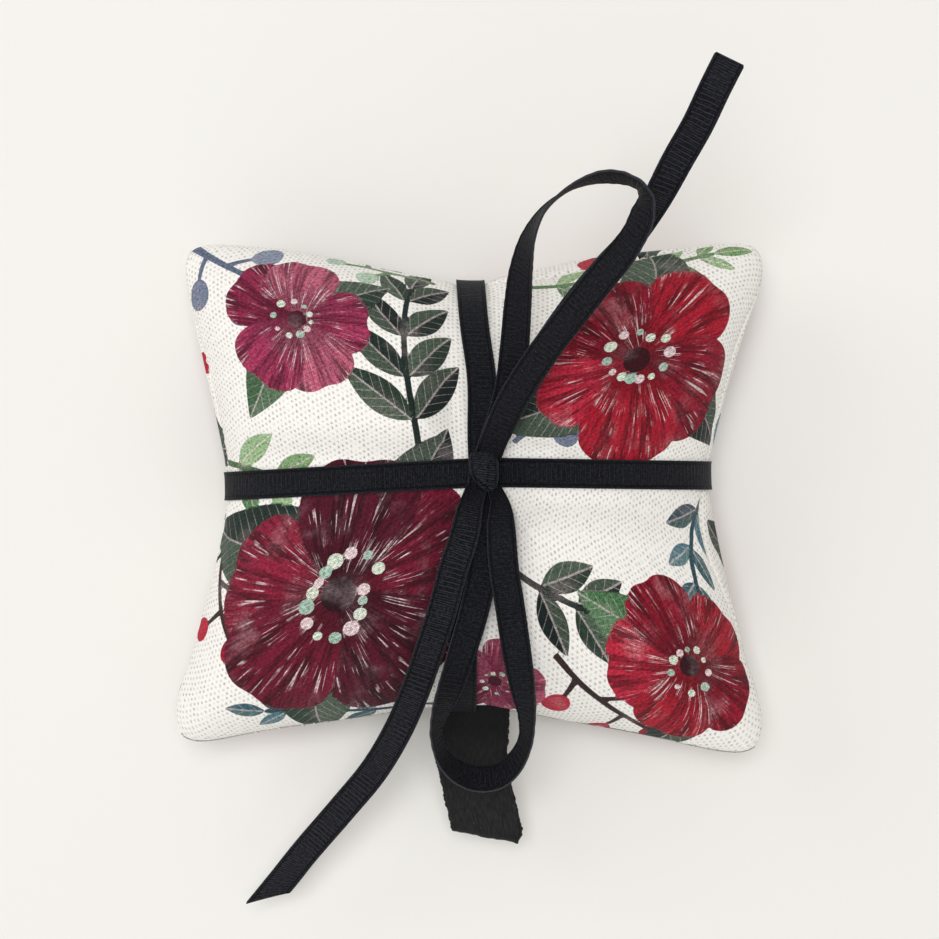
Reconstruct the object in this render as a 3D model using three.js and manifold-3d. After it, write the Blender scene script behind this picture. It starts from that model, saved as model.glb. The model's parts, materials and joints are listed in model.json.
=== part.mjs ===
import * as THREE from 'three';
import { mergeVertices } from 'three/addons/utils/BufferGeometryUtils.js';
import Module from 'manifold-3d';

const wasm = await Module();
wasm.setup();

// A small stuffed sachet, tied crosswise with ribbon. Millimetres, +Z up, lying on its back.
// +Y is the top of the front panel's picture and +X its right.

// Pillow
const CORNER_WIDTH = 126;
const CORNER_DEPTH = 111;
const WAIST_WIDTH = 102.1;
const WAIST_DEPTH = 90.9;
const SEAM_HEIGHT = 20;
const FRONT_CROWN = 21.5;
const REST_CUT = 0.5;
const CANVAS_THICKNESS = 0.8;
const SEAM_ALLOWANCE = 8;
const CLEARANCE = 0.3;

// Valleys that the tied ribbon presses into the pillow
const FRONT_VALLEY = 4.5;
const BACK_VALLEY = 3;
const VALLEY_MARGIN = 0.6;
const VALLEY_SLOPE = 9;

// Ribbon and its knot
const RIBBON_WIDTH = 6;
const RIBBON_THICKNESS = 0.4;
const RIBBON_CLEARANCE = 0.55;
const KNOT_WIDTH = 6.4;
const KNOT_DEPTH = 7;
const KNOT_HEIGHT = 5;
const KNOT_END_TURN = THREE.MathUtils.degToRad(70);
const LOWER_TAIL_SLANT = 6.4;

// Hanging loop, a tape folded double, with its ends sewn into the bottom seam
const TAPE_WIDTH = 15;
const TAPE_THICKNESS = 0.8;
const TAPE_LENGTH = 28.2;
const TAPE_CENTRE_X = 2.2;
const TAPE_SLOPE = THREE.MathUtils.degToRad(15);

// Threads
const THREAD_THICKNESS = 0.3;
const THREAD_CLEARANCE = 0.15;
const STITCH_LENGTH = 2.2;
const LOOP_STITCHES = 5;
const CLOSING_STITCHES = 9;
const CLOSING_STITCH_SPAN = 2.4;

// Filling
const WADDING_CLEARANCE = 0.5;
const POUCH_WIDTH = 66;
const POUCH_DEPTH = 56;
const POUCH_CROWN = 6;
const POUCH_ROOM = 0.8;
const MUSLIN_THICKNESS = 0.4;
const POUCH_STITCH_INSET = 0.9;

// Crown forms: a high flatness keeps the middle level, a low edge power rounds the side
const frontFlatnessShare = 2.6;
const backFlatnessShare = 5;
const crownEdgeShare = 0.55;
const pouchFlatnessShare = 2;

// Corners and waists, as shares of the corner and waist sizes, from the middle of the pillow
const cornerShares = {
  upperLeft: [-0.494, 0.499],
  upperRight: [0.505, 0.503],
  lowerLeft: [-0.507, -0.478],
  lowerRight: [0.504, -0.502],
};
const waistShares = {
  left: [-0.499, 0.031],
  right: [0.501, 0.056],
  top: [0.003, 0.509],
  bottom: [-0.015, -0.491],
};
const knotShares = [0.03, 0.064];
const waistRoundingShare = 0.18;
const cornerRoundingShare = 0.045;
const cornerRoundingPower = 20;
const closingGapShares = [-0.78, -0.36];

// Steps of the curved forms
const PANEL_STEPS = 9;
const POUCH_STEPS = 5;
const ROUTE_STEPS = 2;
const KNOT_SIDES = 14;
const KNOT_RINGS = 7;
const FOLD_STEPS = 6;

const at = (x, y, z) => new THREE.Vector3(x, y, z);
const UP = at(0, 0, 1);

const scaled = (shares, width, depth) => new THREE.Vector2(shares[0] * width, shares[1] * depth);
const corner = (name) => scaled(cornerShares[name], CORNER_WIDTH, CORNER_DEPTH);
const waist = (name) => scaled(waistShares[name], WAIST_WIDTH, WAIST_DEPTH);
const knotPlan = scaled(knotShares, WAIST_WIDTH, WAIST_DEPTH);

// Closed bodies

function solid(corners, index) {
  let volume = 0;
  for (let i = 0; i < index.length; i += 3) {
    const [a, b, c] = [corners[index[i]], corners[index[i + 1]], corners[index[i + 2]]];
    volume += a.dot(b.clone().cross(c));
  }
  const faces = volume < 0 ? index.slice().reverse() : index;
  const geometry = new THREE.BufferGeometry();
  const positions = corners.flatMap((point) => point.toArray());
  geometry.setAttribute('position', new THREE.Float32BufferAttribute(positions, 3));
  geometry.setIndex(faces);
  geometry.computeVertexNormals();
  return geometry;
}

// Sections joined one to the next, with flat ends, or in a closed round
function loft(rings, closed) {
  const sides = rings[0].length;
  const index = [];
  const spans = closed ? rings.length : rings.length - 1;
  for (let i = 0; i < spans; i += 1) {
    const near = i * sides;
    const far = ((i + 1) % rings.length) * sides;
    for (let k = 0; k < sides; k += 1) {
      const next = (k + 1) % sides;
      index.push(near + k, near + next, far + next, near + k, far + next, far + k);
    }
  }
  if (!closed) {
    const last = (rings.length - 1) * sides;
    for (let k = 1; k < sides - 1; k += 1) {
      index.push(0, k + 1, k, last, last + k, last + k + 1);
    }
  }
  return solid(rings.flat(), index);
}

// Two sheets of the same rows of points, closed along their rim
function closedSheet(upper, lower) {
  const rows = upper.length;
  const columns = upper[0].length;
  const count = rows * columns;
  const cell = (row, column) => row * columns + column;
  const index = [];
  for (let r = 0; r < rows - 1; r += 1) {
    for (let c = 0; c < columns - 1; c += 1) {
      const [a, b, d, e] = [cell(r, c), cell(r, c + 1), cell(r + 1, c + 1), cell(r + 1, c)];
      index.push(a, b, d, a, d, e);
      index.push(count + a, count + d, count + b, count + a, count + e, count + d);
    }
  }
  const rim = rimCells(rows, columns).map(([r, c]) => cell(r, c));
  rim.forEach((here, i) => {
    const next = rim[(i + 1) % rim.length];
    index.push(here, count + here, count + next, here, count + next, next);
  });
  return solid([...upper.flat(), ...lower.flat()], index);
}

// The rim of a table of rows and columns, walked anticlockwise
function rimCells(rows, columns) {
  const cells = [];
  for (let c = 0; c < columns - 1; c += 1) cells.push([0, c]);
  for (let r = 0; r < rows - 1; r += 1) cells.push([r, columns - 1]);
  for (let c = columns - 1; c > 0; c -= 1) cells.push([rows - 1, c]);
  for (let r = rows - 1; r > 0; r -= 1) cells.push([r, 0]);
  return cells;
}

function manifold(geometry) {
  const plain = geometry.clone();
  plain.deleteAttribute('normal');
  plain.deleteAttribute('uv');
  const merged = mergeVertices(plain);
  return new wasm.Manifold(new wasm.Mesh({
    numProp: 3,
    vertProperties: new Float32Array(merged.attributes.position.array),
    triVerts: new Uint32Array(merged.index.array),
  }));
}

function cutAway(geometry, tool) {
  const mesh = manifold(geometry).subtract(manifold(tool)).getMesh();
  const result = new THREE.BufferGeometry();
  result.setAttribute('position', new THREE.Float32BufferAttribute(mesh.vertProperties, 3));
  result.setIndex(Array.from(mesh.triVerts));
  result.computeVertexNormals();
  return result;
}

// A thread of square section along a line of points, turned to face one way
function threadAlong(path, face) {
  const half = THREAD_THICKNESS / 2;
  const rings = path.map((point, i) => {
    const before = path[Math.max(i - 1, 0)];
    const after = path[Math.min(i + 1, path.length - 1)];
    const side = after.clone().sub(before).cross(face).normalize();
    return [[1, 1], [-1, 1], [-1, -1], [1, -1]].map(([s, f]) => (
      point.clone().addScaledVector(side, s * half).addScaledVector(face, f * half)));
  });
  return loft(rings, false);
}

// Plan of the pillow: u runs from the left side to the right, v from the bottom to the top,
// and both are zero at the knot, so the two ribbon bands lie on the lines u = 0 and v = 0

const soften = (share) => {
  const softest = Math.hypot(1, waistRoundingShare) - waistRoundingShare;
  return (Math.hypot(share, waistRoundingShare) - waistRoundingShare) / softest;
};

function pillowPlan(u, v, inset) {
  const a = Math.abs(u * (1 - cornerRoundingShare * Math.abs(v) ** cornerRoundingPower));
  const b = Math.abs(v * (1 - cornerRoundingShare * Math.abs(u) ** cornerRoundingPower));
  const side = waist(u < 0 ? 'left' : 'right').sub(knotPlan);
  const end = waist(v < 0 ? 'bottom' : 'top').sub(knotPlan);
  const tip = corner(`${v < 0 ? 'lower' : 'upper'}${u < 0 ? 'Left' : 'Right'}`).sub(knotPlan);
  tip.sub(side).sub(end);
  const offset = side.multiplyScalar(a);
  offset.addScaledVector(end, b);
  offset.addScaledVector(tip, soften(a) * soften(b));
  const drawnInX = 1 - inset / (WAIST_WIDTH / 2);
  const drawnInY = 1 - inset / (WAIST_DEPTH / 2);
  return new THREE.Vector2(offset.x * drawnInX, offset.y * drawnInY).add(knotPlan);
}

const crown = (u, v, flatness) => (
  (1 - Math.abs(u) ** flatness) ** crownEdgeShare * (1 - Math.abs(v) ** flatness) ** crownEdgeShare);

const valleyFloor = (span) => (RIBBON_WIDTH / 2 + VALLEY_MARGIN) / (span / 2);

// How far down a point lies in the valley of one band, from 0 outside it to 1 on its floor
function valley(share, span) {
  const outside = (Math.abs(share) - valleyFloor(span)) / (VALLEY_SLOPE / (span / 2));
  const clamped = THREE.MathUtils.clamp(outside, 0, 1);
  return 0.5 + 0.5 * Math.cos(Math.PI * clamped);
}

const front = { sign: 1, crown: FRONT_CROWN, valley: FRONT_VALLEY, flatness: frontFlatnessShare };
const back = { sign: -1, crown: SEAM_HEIGHT + REST_CUT, valley: BACK_VALLEY, flatness: backFlatnessShare };

// Distance between the two panels at the seam, where the thread lies
const SEAM_GAP = THREAD_THICKNESS + 2 * THREAD_CLEARANCE;

// A point of the front or back panel's outer face, or of a face that lies within it
function pillowPoint(half, u, v, inset, depth) {
  const plan = pillowPlan(u, v, inset);
  const pressed = Math.max(valley(u, WAIST_WIDTH), valley(v, WAIST_DEPTH)) * (half.valley / half.crown);
  const rise = (half.crown - depth) * crown(u, v, half.flatness) * (1 - pressed);
  const z = SEAM_HEIGHT + half.sign * (SEAM_GAP / 2 + rise);
  return at(plan.x, plan.y, Math.max(z, depth));
}

// Stations across the pillow, close together at the sides and at the edges of the valley
function stations(span) {
  const floor = valleyFloor(span);
  const outer = [];
  for (let i = 0; i <= PANEL_STEPS; i += 1) {
    outer.push(floor + (1 - floor) * Math.sin((i / PANEL_STEPS) * (Math.PI / 2)));
  }
  return [...outer.map((share) => -share).reverse(), 0, ...outer];
}

const acrossStations = stations(WAIST_WIDTH);
const upStations = stations(WAIST_DEPTH);
const pillowGrid = (point) => upStations.map((v) => acrossStations.map((u) => point(u, v)));

function panel(half) {
  const outer = pillowGrid((u, v) => pillowPoint(half, u, v, 0, 0));
  const inner = pillowGrid((u, v) => pillowPoint(half, u, v, CANVAS_THICKNESS, CANVAS_THICKNESS));
  return closedSheet(outer, inner);
}

// A thread that runs round between two sheets
function threadRing(path) {
  const half = THREAD_THICKNESS / 2;
  const rings = path.map((point, i) => {
    const before = path[(i + path.length - 1) % path.length];
    const after = path[(i + 1) % path.length];
    const side = after.clone().sub(before).cross(UP).normalize();
    return [[1, 0], [0, 1], [-1, 0], [0, -1]].map(([s, f]) => (
      point.clone().addScaledVector(side, s * half).addScaledVector(UP, f * half)));
  });
  return loft(rings, true);
}

function seamThread() {
  const inset = CANVAS_THICKNESS / 2;
  const path = rimCells(upStations.length, acrossStations.length).map(([row, column]) => {
    const plan = pillowPlan(acrossStations[column], upStations[row], inset);
    return at(plan.x, plan.y, SEAM_HEIGHT);
  });
  return threadRing(path);
}

// Slanting hand stitches, in one thread, that close the gap through which the pillow was filled
function closingThread() {
  const outside = -(CLEARANCE + THREAD_THICKNESS);
  const [start, end] = closingGapShares;
  const path = [];
  for (let i = 0; i <= 2 * CLOSING_STITCHES; i += 1) {
    const u = THREE.MathUtils.lerp(start, end, i / (2 * CLOSING_STITCHES));
    const plan = pillowPlan(u, -1, outside);
    const side = i % 2 === 0 ? -1 : 1;
    path.push(at(plan.x, plan.y, SEAM_HEIGHT + (side * CLOSING_STITCH_SPAN) / 2));
  }
  return threadAlong(path, at(0, 1, 0));
}

// Filling

const lens = (x, y) => crown(
  THREE.MathUtils.clamp(x, -1, 1), THREE.MathUtils.clamp(y, -1, 1), pouchFlatnessShare);

// One sheet of wadding, hollowed where the pouch lies, that ends where the seam allowances begin
function wadding(half) {
  const inside = (shares, span) => (
    shares.filter((share) => Math.abs(share) < 1 - SEAM_ALLOWANCE / (span / 2)));
  const across = inside(acrossStations, WAIST_WIDTH);
  const up = inside(upStations, WAIST_DEPTH);
  const depth = CANVAS_THICKNESS + WADDING_CLEARANCE;
  const outer = up.map((v) => across.map((u) => pillowPoint(half, u, v, depth, depth)));
  const inner = outer.map((row) => row.map((point) => {
    const x = point.x / (POUCH_WIDTH / 2 + SEAM_ALLOWANCE);
    const y = point.y / (POUCH_DEPTH / 2 + SEAM_ALLOWANCE);
    const room = (POUCH_CROWN + POUCH_ROOM) * lens(x, y);
    return at(point.x, point.y, SEAM_HEIGHT + half.sign * (CLEARANCE / 2 + room));
  }));
  return closedSheet(outer, inner);
}

function pouchStations() {
  const shares = [];
  for (let i = -POUCH_STEPS; i <= POUCH_STEPS; i += 1) {
    shares.push(Math.sin((i / POUCH_STEPS) * (Math.PI / 2)));
  }
  return shares;
}

const pouchShares = pouchStations();
const pouchGrid = (point) => pouchShares.map((v) => pouchShares.map((u) => point(u, v)));

function pouchPoint(half, u, v, inset) {
  const height = Math.max(POUCH_CROWN - SEAM_GAP / 2 - inset, 0);
  const rise = SEAM_GAP / 2 + height * crown(u, v, pouchFlatnessShare);
  return at(
    u * (POUCH_WIDTH / 2 - inset),
    v * (POUCH_DEPTH / 2 - inset),
    SEAM_HEIGHT + half.sign * rise,
  );
}

function pouchPanel(half) {
  const outer = pouchGrid((u, v) => pouchPoint(half, u, v, 0));
  const inner = pouchGrid((u, v) => pouchPoint(half, u, v, MUSLIN_THICKNESS));
  return closedSheet(outer, inner);
}

function pouchThread() {
  const count = pouchShares.length;
  const inset = MUSLIN_THICKNESS / 2;
  const path = rimCells(count, count).map(([row, column]) => at(
    pouchShares[column] * (POUCH_WIDTH / 2 - inset),
    pouchShares[row] * (POUCH_DEPTH / 2 - inset),
    SEAM_HEIGHT,
  ));
  return threadRing(path);
}

function lavenderBuds() {
  const inset = MUSLIN_THICKNESS + POUCH_STITCH_INSET;
  return closedSheet(
    pouchGrid((u, v) => pouchPoint(front, u, v, inset)),
    pouchGrid((u, v) => pouchPoint(back, u, v, inset)));
}

// Ribbon bands: one on the line v = 0 and one on u = 0, each a closed round of ribbon

// layer 0 lies on the canvas, layer 1 on the band below it
function ribbonBand(shares, place, layer) {
  const top = shares.map((share) => place(front, share));
  const under = shares.map((share) => place(back, share)).reverse();
  const round = [...top, ...under];
  const count = round.length;
  const lift = RIBBON_CLEARANCE + RIBBON_THICKNESS / 2 + layer * (RIBBON_THICKNESS + CLEARANCE);
  const rings = round.map((point, i) => {
    const along = round[(i + 1) % count].clone().sub(round[(i + count - 1) % count]).normalize();
    const course = top[top.length - 1].clone().sub(top[0]).setZ(0).normalize();
    const side = UP.clone().cross(course);
    const outward = side.clone().cross(along).normalize().negate();
    const centre = point.clone().addScaledVector(outward, lift);
    return stripSection(centre, side, outward);
  });
  return loft(rings, true);
}

function stripSection(centre, side, face) {
  return [[1, 1], [-1, 1], [-1, -1], [1, -1]].map(([s, f]) => (
    centre.clone()
      .addScaledVector(side, s * (RIBBON_WIDTH / 2))
      .addScaledVector(face, f * (RIBBON_THICKNESS / 2))));
}

const acrossBand = () => ribbonBand(acrossStations, (half, u) => pillowPoint(half, u, 0, 0, 0), 0);
const lengthwiseBand = () => ribbonBand(upStations, (half, v) => pillowPoint(half, 0, v, 0, 0), 1);

// The knot sits on both bands where they cross
const bandsHeight = RIBBON_CLEARANCE + 2 * (RIBBON_THICKNESS + CLEARANCE);
const knotCentre = pillowPoint(front, 0, 0, 0, 0);
knotCentre.z += bandsHeight + KNOT_HEIGHT / 2;

function knot() {
  const rings = [];
  for (let i = 0; i < KNOT_RINGS; i += 1) {
    const turn = THREE.MathUtils.lerp(-KNOT_END_TURN, KNOT_END_TURN, i / (KNOT_RINGS - 1));
    const swell = Math.cos(turn);
    const y = knotCentre.y + (Math.sin(turn) / Math.sin(KNOT_END_TURN)) * (KNOT_DEPTH / 2);
    const ring = [];
    for (let k = 0; k < KNOT_SIDES; k += 1) {
      const angle = (k / KNOT_SIDES) * 2 * Math.PI;
      const x = knotCentre.x + Math.cos(angle) * swell * (KNOT_WIDTH / 2);
      ring.push(at(x, y, knotCentre.z + Math.sin(angle) * swell * (KNOT_HEIGHT / 2)));
    }
    rings.push(ring);
  }
  return loft(rings, false);
}

// Routes of the bow's free stretches from the knot's centre: x, y, z and the ribbon's lean in degrees
const upperTailRoute = [
  [0.9, 3.9, 0.2, 0], [2.4, 7.5, 1.8, 0], [4.8, 12.1, 4.4, 0], [8.5, 18.6, 8.3, 0],
  [13.1, 25.6, 12.8, 0], [18.0, 32.6, 17.0, 0], [23.0, 39.2, 21.0, 0], [27.9, 45.6, 25.0, 0],
  [32.2, 51.8, 29.1, 0], [35.9, 58.2, 33.3, 0], [39.3, 64.3, 37.4, 0], [42.1, 70.4, 41.2, 0],
  [44.5, 75.3, 44.4, 0],
];
const upperLoopRoute = [
  [0.9, 3.9, -1.2, 0], [2.4, 7.6, -0.3, 0], [4.0, 12.4, 0.8, 0], [5.3, 18.0, 2.6, -4],
  [6.1, 25.2, 6.1, -14], [6.7, 33.2, 11.3, -28], [7.3, 39.7, 16.0, -44], [8.7, 45.3, 20.6, -62],
  [11.3, 49.7, 24.4, -77], [14.8, 52.7, 27.6, -88], [18.9, 54.5, 29.8, -98], [22.8, 55.4, 31.4, -108],
  [26.1, 54.6, 32.6, -108], [28.5, 52.8, 33.0, -113], [29.6, 49.7, 32.4, -127], [28.6, 45.6, 30.0, -155],
  [26.0, 41.9, 27.4, -172], [22.4, 37.5, 24.0, -180], [17.1, 30.6, 18.6, -180], [11.1, 22.8, 12.6, -180],
  [5.7, 14.4, 7.1, -180], [2.7, 7.9, 3.4, -180], [0.9, 3.9, 1.6, -180],
];
const lowerLoopRoute = [
  [0.8, -4.0, -1.1, 0], [1.2, -8.2, -1.0, 0], [0.4, -14.8, -0.8, 0], [-0.6, -21.9, -0.5, 0],
  [-2.4, -29.6, -0.4, -8], [-4.8, -37.3, -1.0, -25], [-7.4, -44.3, -2.1, -42], [-8.6, -49.1, -3.4, -48],
  [-8.8, -53.7, -4.5, -46], [-7.5, -58.1, -5.8, -38], [-4.7, -61.3, -6.5, -31], [-0.8, -62.8, -6.9, -28],
  [2.9, -62.1, -6.6, -31], [5.9, -59.3, -5.8, -38], [7.7, -55.1, -4.4, -44], [8.3, -50.0, -2.5, -46],
  [7.8, -44.1, -0.8, -36], [6.5, -35.9, 1.2, -16], [5.2, -27.4, 2.6, 0], [3.9, -18.9, 3.0, 0],
  [2.7, -11.3, 2.5, 0], [1.6, -6.3, 1.9, 0], [1.1, -4.0, 1.6, 0],
];
const lowerTailRoute = [
  [-0.8, -4.0, 0.1, 0], [-2.1, -7.3, 0.5, 0], [-4.1, -13.2, 0.8, 0], [-6.3, -20.0, 0.5, 0],
  [-8.5, -28.2, -0.4, 0], [-11.2, -36.6, -1.9, 0], [-14.1, -44.9, -4.5, 0], [-17.6, -53.0, -7.8, 0],
  [-22.7, -61.8, -11.8, 0], [-29.6, -70.5, -16.1, 0], [-37.5, -80.1, -21.4, 0], [-42.4, -86.5, -24.8, 0],
  [-46.1, -91.2, -27.4, 0],
];

// A flat ribbon along a route. Its width leans from level about its course.
// slant sets how far one edge of the cut end runs past the other.
function ribbonStretch(route, slant) {
  const curve = new THREE.CatmullRomCurve3(
    route.map(([x, y, z]) => at(x, y, z).add(knotCentre)), false, 'centripetal');
  const count = (route.length - 1) * ROUTE_STEPS;
  const rings = [];
  for (let i = 0; i <= count; i += 1) {
    const share = i / count;
    const span = Math.min(Math.floor(i / ROUTE_STEPS), route.length - 2);
    const lean = THREE.MathUtils.degToRad(
      THREE.MathUtils.lerp(route[span][3], route[span + 1][3], i / ROUTE_STEPS - span));
    const along = curve.getTangent(share);
    const level = UP.clone().cross(along).normalize();
    const flat = along.clone().cross(level);
    const side = level.clone().multiplyScalar(Math.cos(lean)).addScaledVector(flat, Math.sin(lean));
    const face = flat.clone().multiplyScalar(Math.cos(lean)).addScaledVector(level, -Math.sin(lean));
    rings.push(stripSection(curve.getPoint(share), side, face));
    if (i === count) {
      rings[i].forEach((point, k) => {
        const nearEdge = k === 0 || k === 3;
        point.addScaledVector(along, (nearEdge ? -slant : slant) / 2);
      });
    }
  }
  return loft(rings, false);
}

// Hanging loop

const loopThickness = 2 * TAPE_THICKNESS + CLEARANCE;
const loopHalf = loopThickness / 2;

// The bottom seam behind the tape
const seamEdge = (x) => {
  const edge = acrossStations.map((u) => pillowPlan(u, -1, 0));
  const i = edge.findIndex((plan) => plan.x > x);
  const share = (x - edge[i - 1].x) / (edge[i].x - edge[i - 1].x);
  return THREE.MathUtils.lerp(edge[i - 1].y, edge[i].y, share);
};
const seamBehindTape = [TAPE_CENTRE_X - TAPE_WIDTH / 2, TAPE_CENTRE_X, TAPE_CENTRE_X + TAPE_WIDTH / 2]
  .map(seamEdge)
  .concat(waist('bottom').y);
const seamOutside = Math.min(...seamBehindTape);
const seamInside = Math.max(...seamBehindTape);
const hingePoint = at(TAPE_CENTRE_X, seamOutside - CLEARANCE - loopHalf, SEAM_HEIGHT);

function arcPoints(centre, radius, from, to) {
  const points = [];
  for (let i = 0; i <= FOLD_STEPS; i += 1) {
    const angle = THREE.MathUtils.lerp(from, to, i / FOLD_STEPS);
    points.push(new THREE.Vector2(centre + radius * Math.cos(angle), radius * Math.sin(angle)));
  }
  return points;
}

// The side view of the folded tape, rounded where it turns at the seam and closed at the fold
function hangingLoop() {
  const fold = TAPE_LENGTH - 2 * loopHalf;
  const slit = CLEARANCE / 2;
  const mouth = Math.asin(slit / loopHalf);
  const outline = [
    ...arcPoints(0, loopHalf, Math.PI - mouth, Math.PI / 2),
    ...arcPoints(fold, loopHalf, Math.PI / 2, -Math.PI / 2),
    ...arcPoints(0, loopHalf, -Math.PI / 2, -Math.PI + mouth),
    ...arcPoints(fold, slit, -Math.PI / 2, Math.PI / 2),
  ];
  const tape = new THREE.ExtrudeGeometry(new THREE.Shape(outline), {
    depth: TAPE_WIDTH, bevelEnabled: false, curveSegments: FOLD_STEPS,
  });
  tape.translate(0, 0, -TAPE_WIDTH / 2);
  const outward = at(0, -1, 0);
  tape.applyMatrix4(new THREE.Matrix4().makeBasis(outward, UP, outward.clone().cross(UP)));
  const pinched = cutAway(tape, ribbonPinch());
  pinched.rotateX(TAPE_SLOPE);
  return pinched;
}

// Where the lengthwise band goes round the seam it pinches one edge of the tape out of its way
function ribbonPinch() {
  const bandEdge = waist('bottom').x + RIBBON_WIDTH / 2 + 2 * CLEARANCE;
  const tapeEdge = TAPE_CENTRE_X - TAPE_WIDTH / 2;
  const reach = 2 * (loopHalf + CLEARANCE);
  const pinch = new THREE.BoxGeometry(bandEdge - tapeEdge + CLEARANCE, reach, 2 * loopThickness);
  pinch.translate((bandEdge + tapeEdge - CLEARANCE) / 2 - TAPE_CENTRE_X, 0, 0);
  return pinch;
}

// The tape's two ends, held between the panels inside the seam
const endsOuter = seamInside + 2 * CANVAS_THICKNESS + CLEARANCE;
const endsLength = SEAM_ALLOWANCE - CANVAS_THICKNESS;

function loopEnds() {
  const ends = new THREE.BoxGeometry(TAPE_WIDTH, endsLength, loopThickness);
  ends.translate(TAPE_CENTRE_X, endsOuter + endsLength / 2, SEAM_HEIGHT);
  return ends;
}

// The thread that holds the two ends, stitched from side to side
function loopThread() {
  const z = SEAM_HEIGHT + loopHalf + THREAD_CLEARANCE + THREAD_THICKNESS / 2;
  const path = [];
  for (let i = 0; i <= 2 * LOOP_STITCHES; i += 1) {
    const x = TAPE_CENTRE_X + (i / LOOP_STITCHES - 1) * (TAPE_WIDTH / 2 - THREAD_THICKNESS);
    const side = i % 2 === 0 ? -1 : 1;
    path.push(at(x, endsOuter + endsLength / 2 + (side * STITCH_LENGTH) / 2, z));
  }
  return threadAlong(path, UP);
}

// Materials

const finish = (color, roughness) => new THREE.MeshStandardMaterial({ color, roughness, metalness: 0 });
const canvas = finish(0xefebe0, 0.95);
const thread = finish(0xe8e4d8, 0.8);
const fibre = finish(0xf6f4ee, 1);
const muslin = finish(0xe9e0cc, 0.95);
const lavender = finish(0x7d74a8, 0.95);
const cottonTape = finish(0x232424, 0.95);
const grosgrain = finish(0x1c1d22, 0.7);

const sachet = new THREE.Group();

function add(name, geometry, material, place) {
  const mesh = new THREE.Mesh(geometry, material);
  mesh.name = name;
  if (place) mesh.position.copy(place);
  sachet.add(mesh);
  return mesh;
}

add('front_panel', panel(front), canvas);
add('back_panel', panel(back), canvas);
add('seam_thread', seamThread(), thread);
add('closing_thread', closingThread(), thread);
add('wadding_front', wadding(front), fibre);
add('wadding_back', wadding(back), fibre);
add('pouch_front', pouchPanel(front), muslin);
add('pouch_back', pouchPanel(back), muslin);
add('pouch_thread', pouchThread(), thread);
add('lavender_buds', lavenderBuds(), lavender);
add('loop_ends', loopEnds(), cottonTape);
add('loop_thread', loopThread(), thread);
add('hanging_loop', hangingLoop(), cottonTape, hingePoint);
add('ribbon_band_across', acrossBand(), grosgrain);
add('ribbon_band_lengthwise', lengthwiseBand(), grosgrain);
add('bow_knot', knot(), grosgrain);

// The origin is under the middle of the sachet, without the free stretches of the bow
const footprint = new THREE.Box3().setFromObject(sachet);
const middle = footprint.getCenter(at(0, 0, 0)).setZ(footprint.min.z);

add('bow_loop_upper', ribbonStretch(upperLoopRoute, 0), grosgrain);
add('bow_loop_lower', ribbonStretch(lowerLoopRoute, 0), grosgrain);
add('bow_tail_upper', ribbonStretch(upperTailRoute, 0), grosgrain);
add('bow_tail_lower', ribbonStretch(lowerTailRoute, LOWER_TAIL_SLANT), grosgrain);

sachet.position.copy(middle).negate();
sachet.updateMatrixWorld(true);

export default sachet;
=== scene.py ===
import json
import math
from functools import partial

import bpy
import numpy as np
from mathutils import Matrix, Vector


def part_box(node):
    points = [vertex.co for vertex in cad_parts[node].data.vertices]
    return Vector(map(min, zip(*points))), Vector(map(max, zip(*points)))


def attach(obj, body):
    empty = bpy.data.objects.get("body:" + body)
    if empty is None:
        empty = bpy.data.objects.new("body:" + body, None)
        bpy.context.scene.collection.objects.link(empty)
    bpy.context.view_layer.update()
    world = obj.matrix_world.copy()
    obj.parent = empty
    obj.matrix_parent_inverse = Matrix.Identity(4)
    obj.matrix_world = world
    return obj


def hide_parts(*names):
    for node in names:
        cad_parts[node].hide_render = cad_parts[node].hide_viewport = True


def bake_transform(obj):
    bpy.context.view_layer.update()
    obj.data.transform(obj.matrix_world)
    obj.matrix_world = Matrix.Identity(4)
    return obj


# A small stuffed sachet tied crosswise with ribbon, seen from straight above.
# Lengths below are millimetres where a name or comment says so, and metres in the meshes.

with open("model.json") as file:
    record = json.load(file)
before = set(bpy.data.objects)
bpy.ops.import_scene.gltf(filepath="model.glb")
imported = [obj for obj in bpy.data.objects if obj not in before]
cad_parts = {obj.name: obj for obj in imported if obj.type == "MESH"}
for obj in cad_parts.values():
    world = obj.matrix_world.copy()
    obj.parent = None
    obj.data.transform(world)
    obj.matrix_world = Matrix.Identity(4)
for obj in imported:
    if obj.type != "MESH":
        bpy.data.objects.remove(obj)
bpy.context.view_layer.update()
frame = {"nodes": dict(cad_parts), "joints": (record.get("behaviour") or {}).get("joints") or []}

MM = 0.001
UP = np.array([0.0, 0.0, 1.0])


def deselect_all():
    bpy.ops.object.select_all(action="DESELECT")


# Camera: 0.5 m above the table, looking straight down, with the top of the pillow up

VIEW_CENTRE = (0.28, 15.97)
VIEW_HEIGHT = 500.0
camera_data = bpy.data.cameras.new("camera")
camera_data.sensor_width = 36
camera_data.lens = 87.07
camera = bpy.data.objects.new("camera", camera_data)
camera.location = (VIEW_CENTRE[0] * MM, VIEW_CENTRE[1] * MM, VIEW_HEIGHT * MM)
bpy.context.scene.collection.objects.link(camera)
bpy.context.scene.camera = camera


# Colours and nodes


def linear(code):
    """An sRGB hex colour as linear red, green, blue and alpha."""
    parts = [int(code[i : i + 2], 16) / 255 for i in (1, 3, 5)]
    return [c / 12.92 if c <= 0.04045 else ((c + 0.055) / 1.055) ** 2.4 for c in parts] + [1.0]


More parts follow.
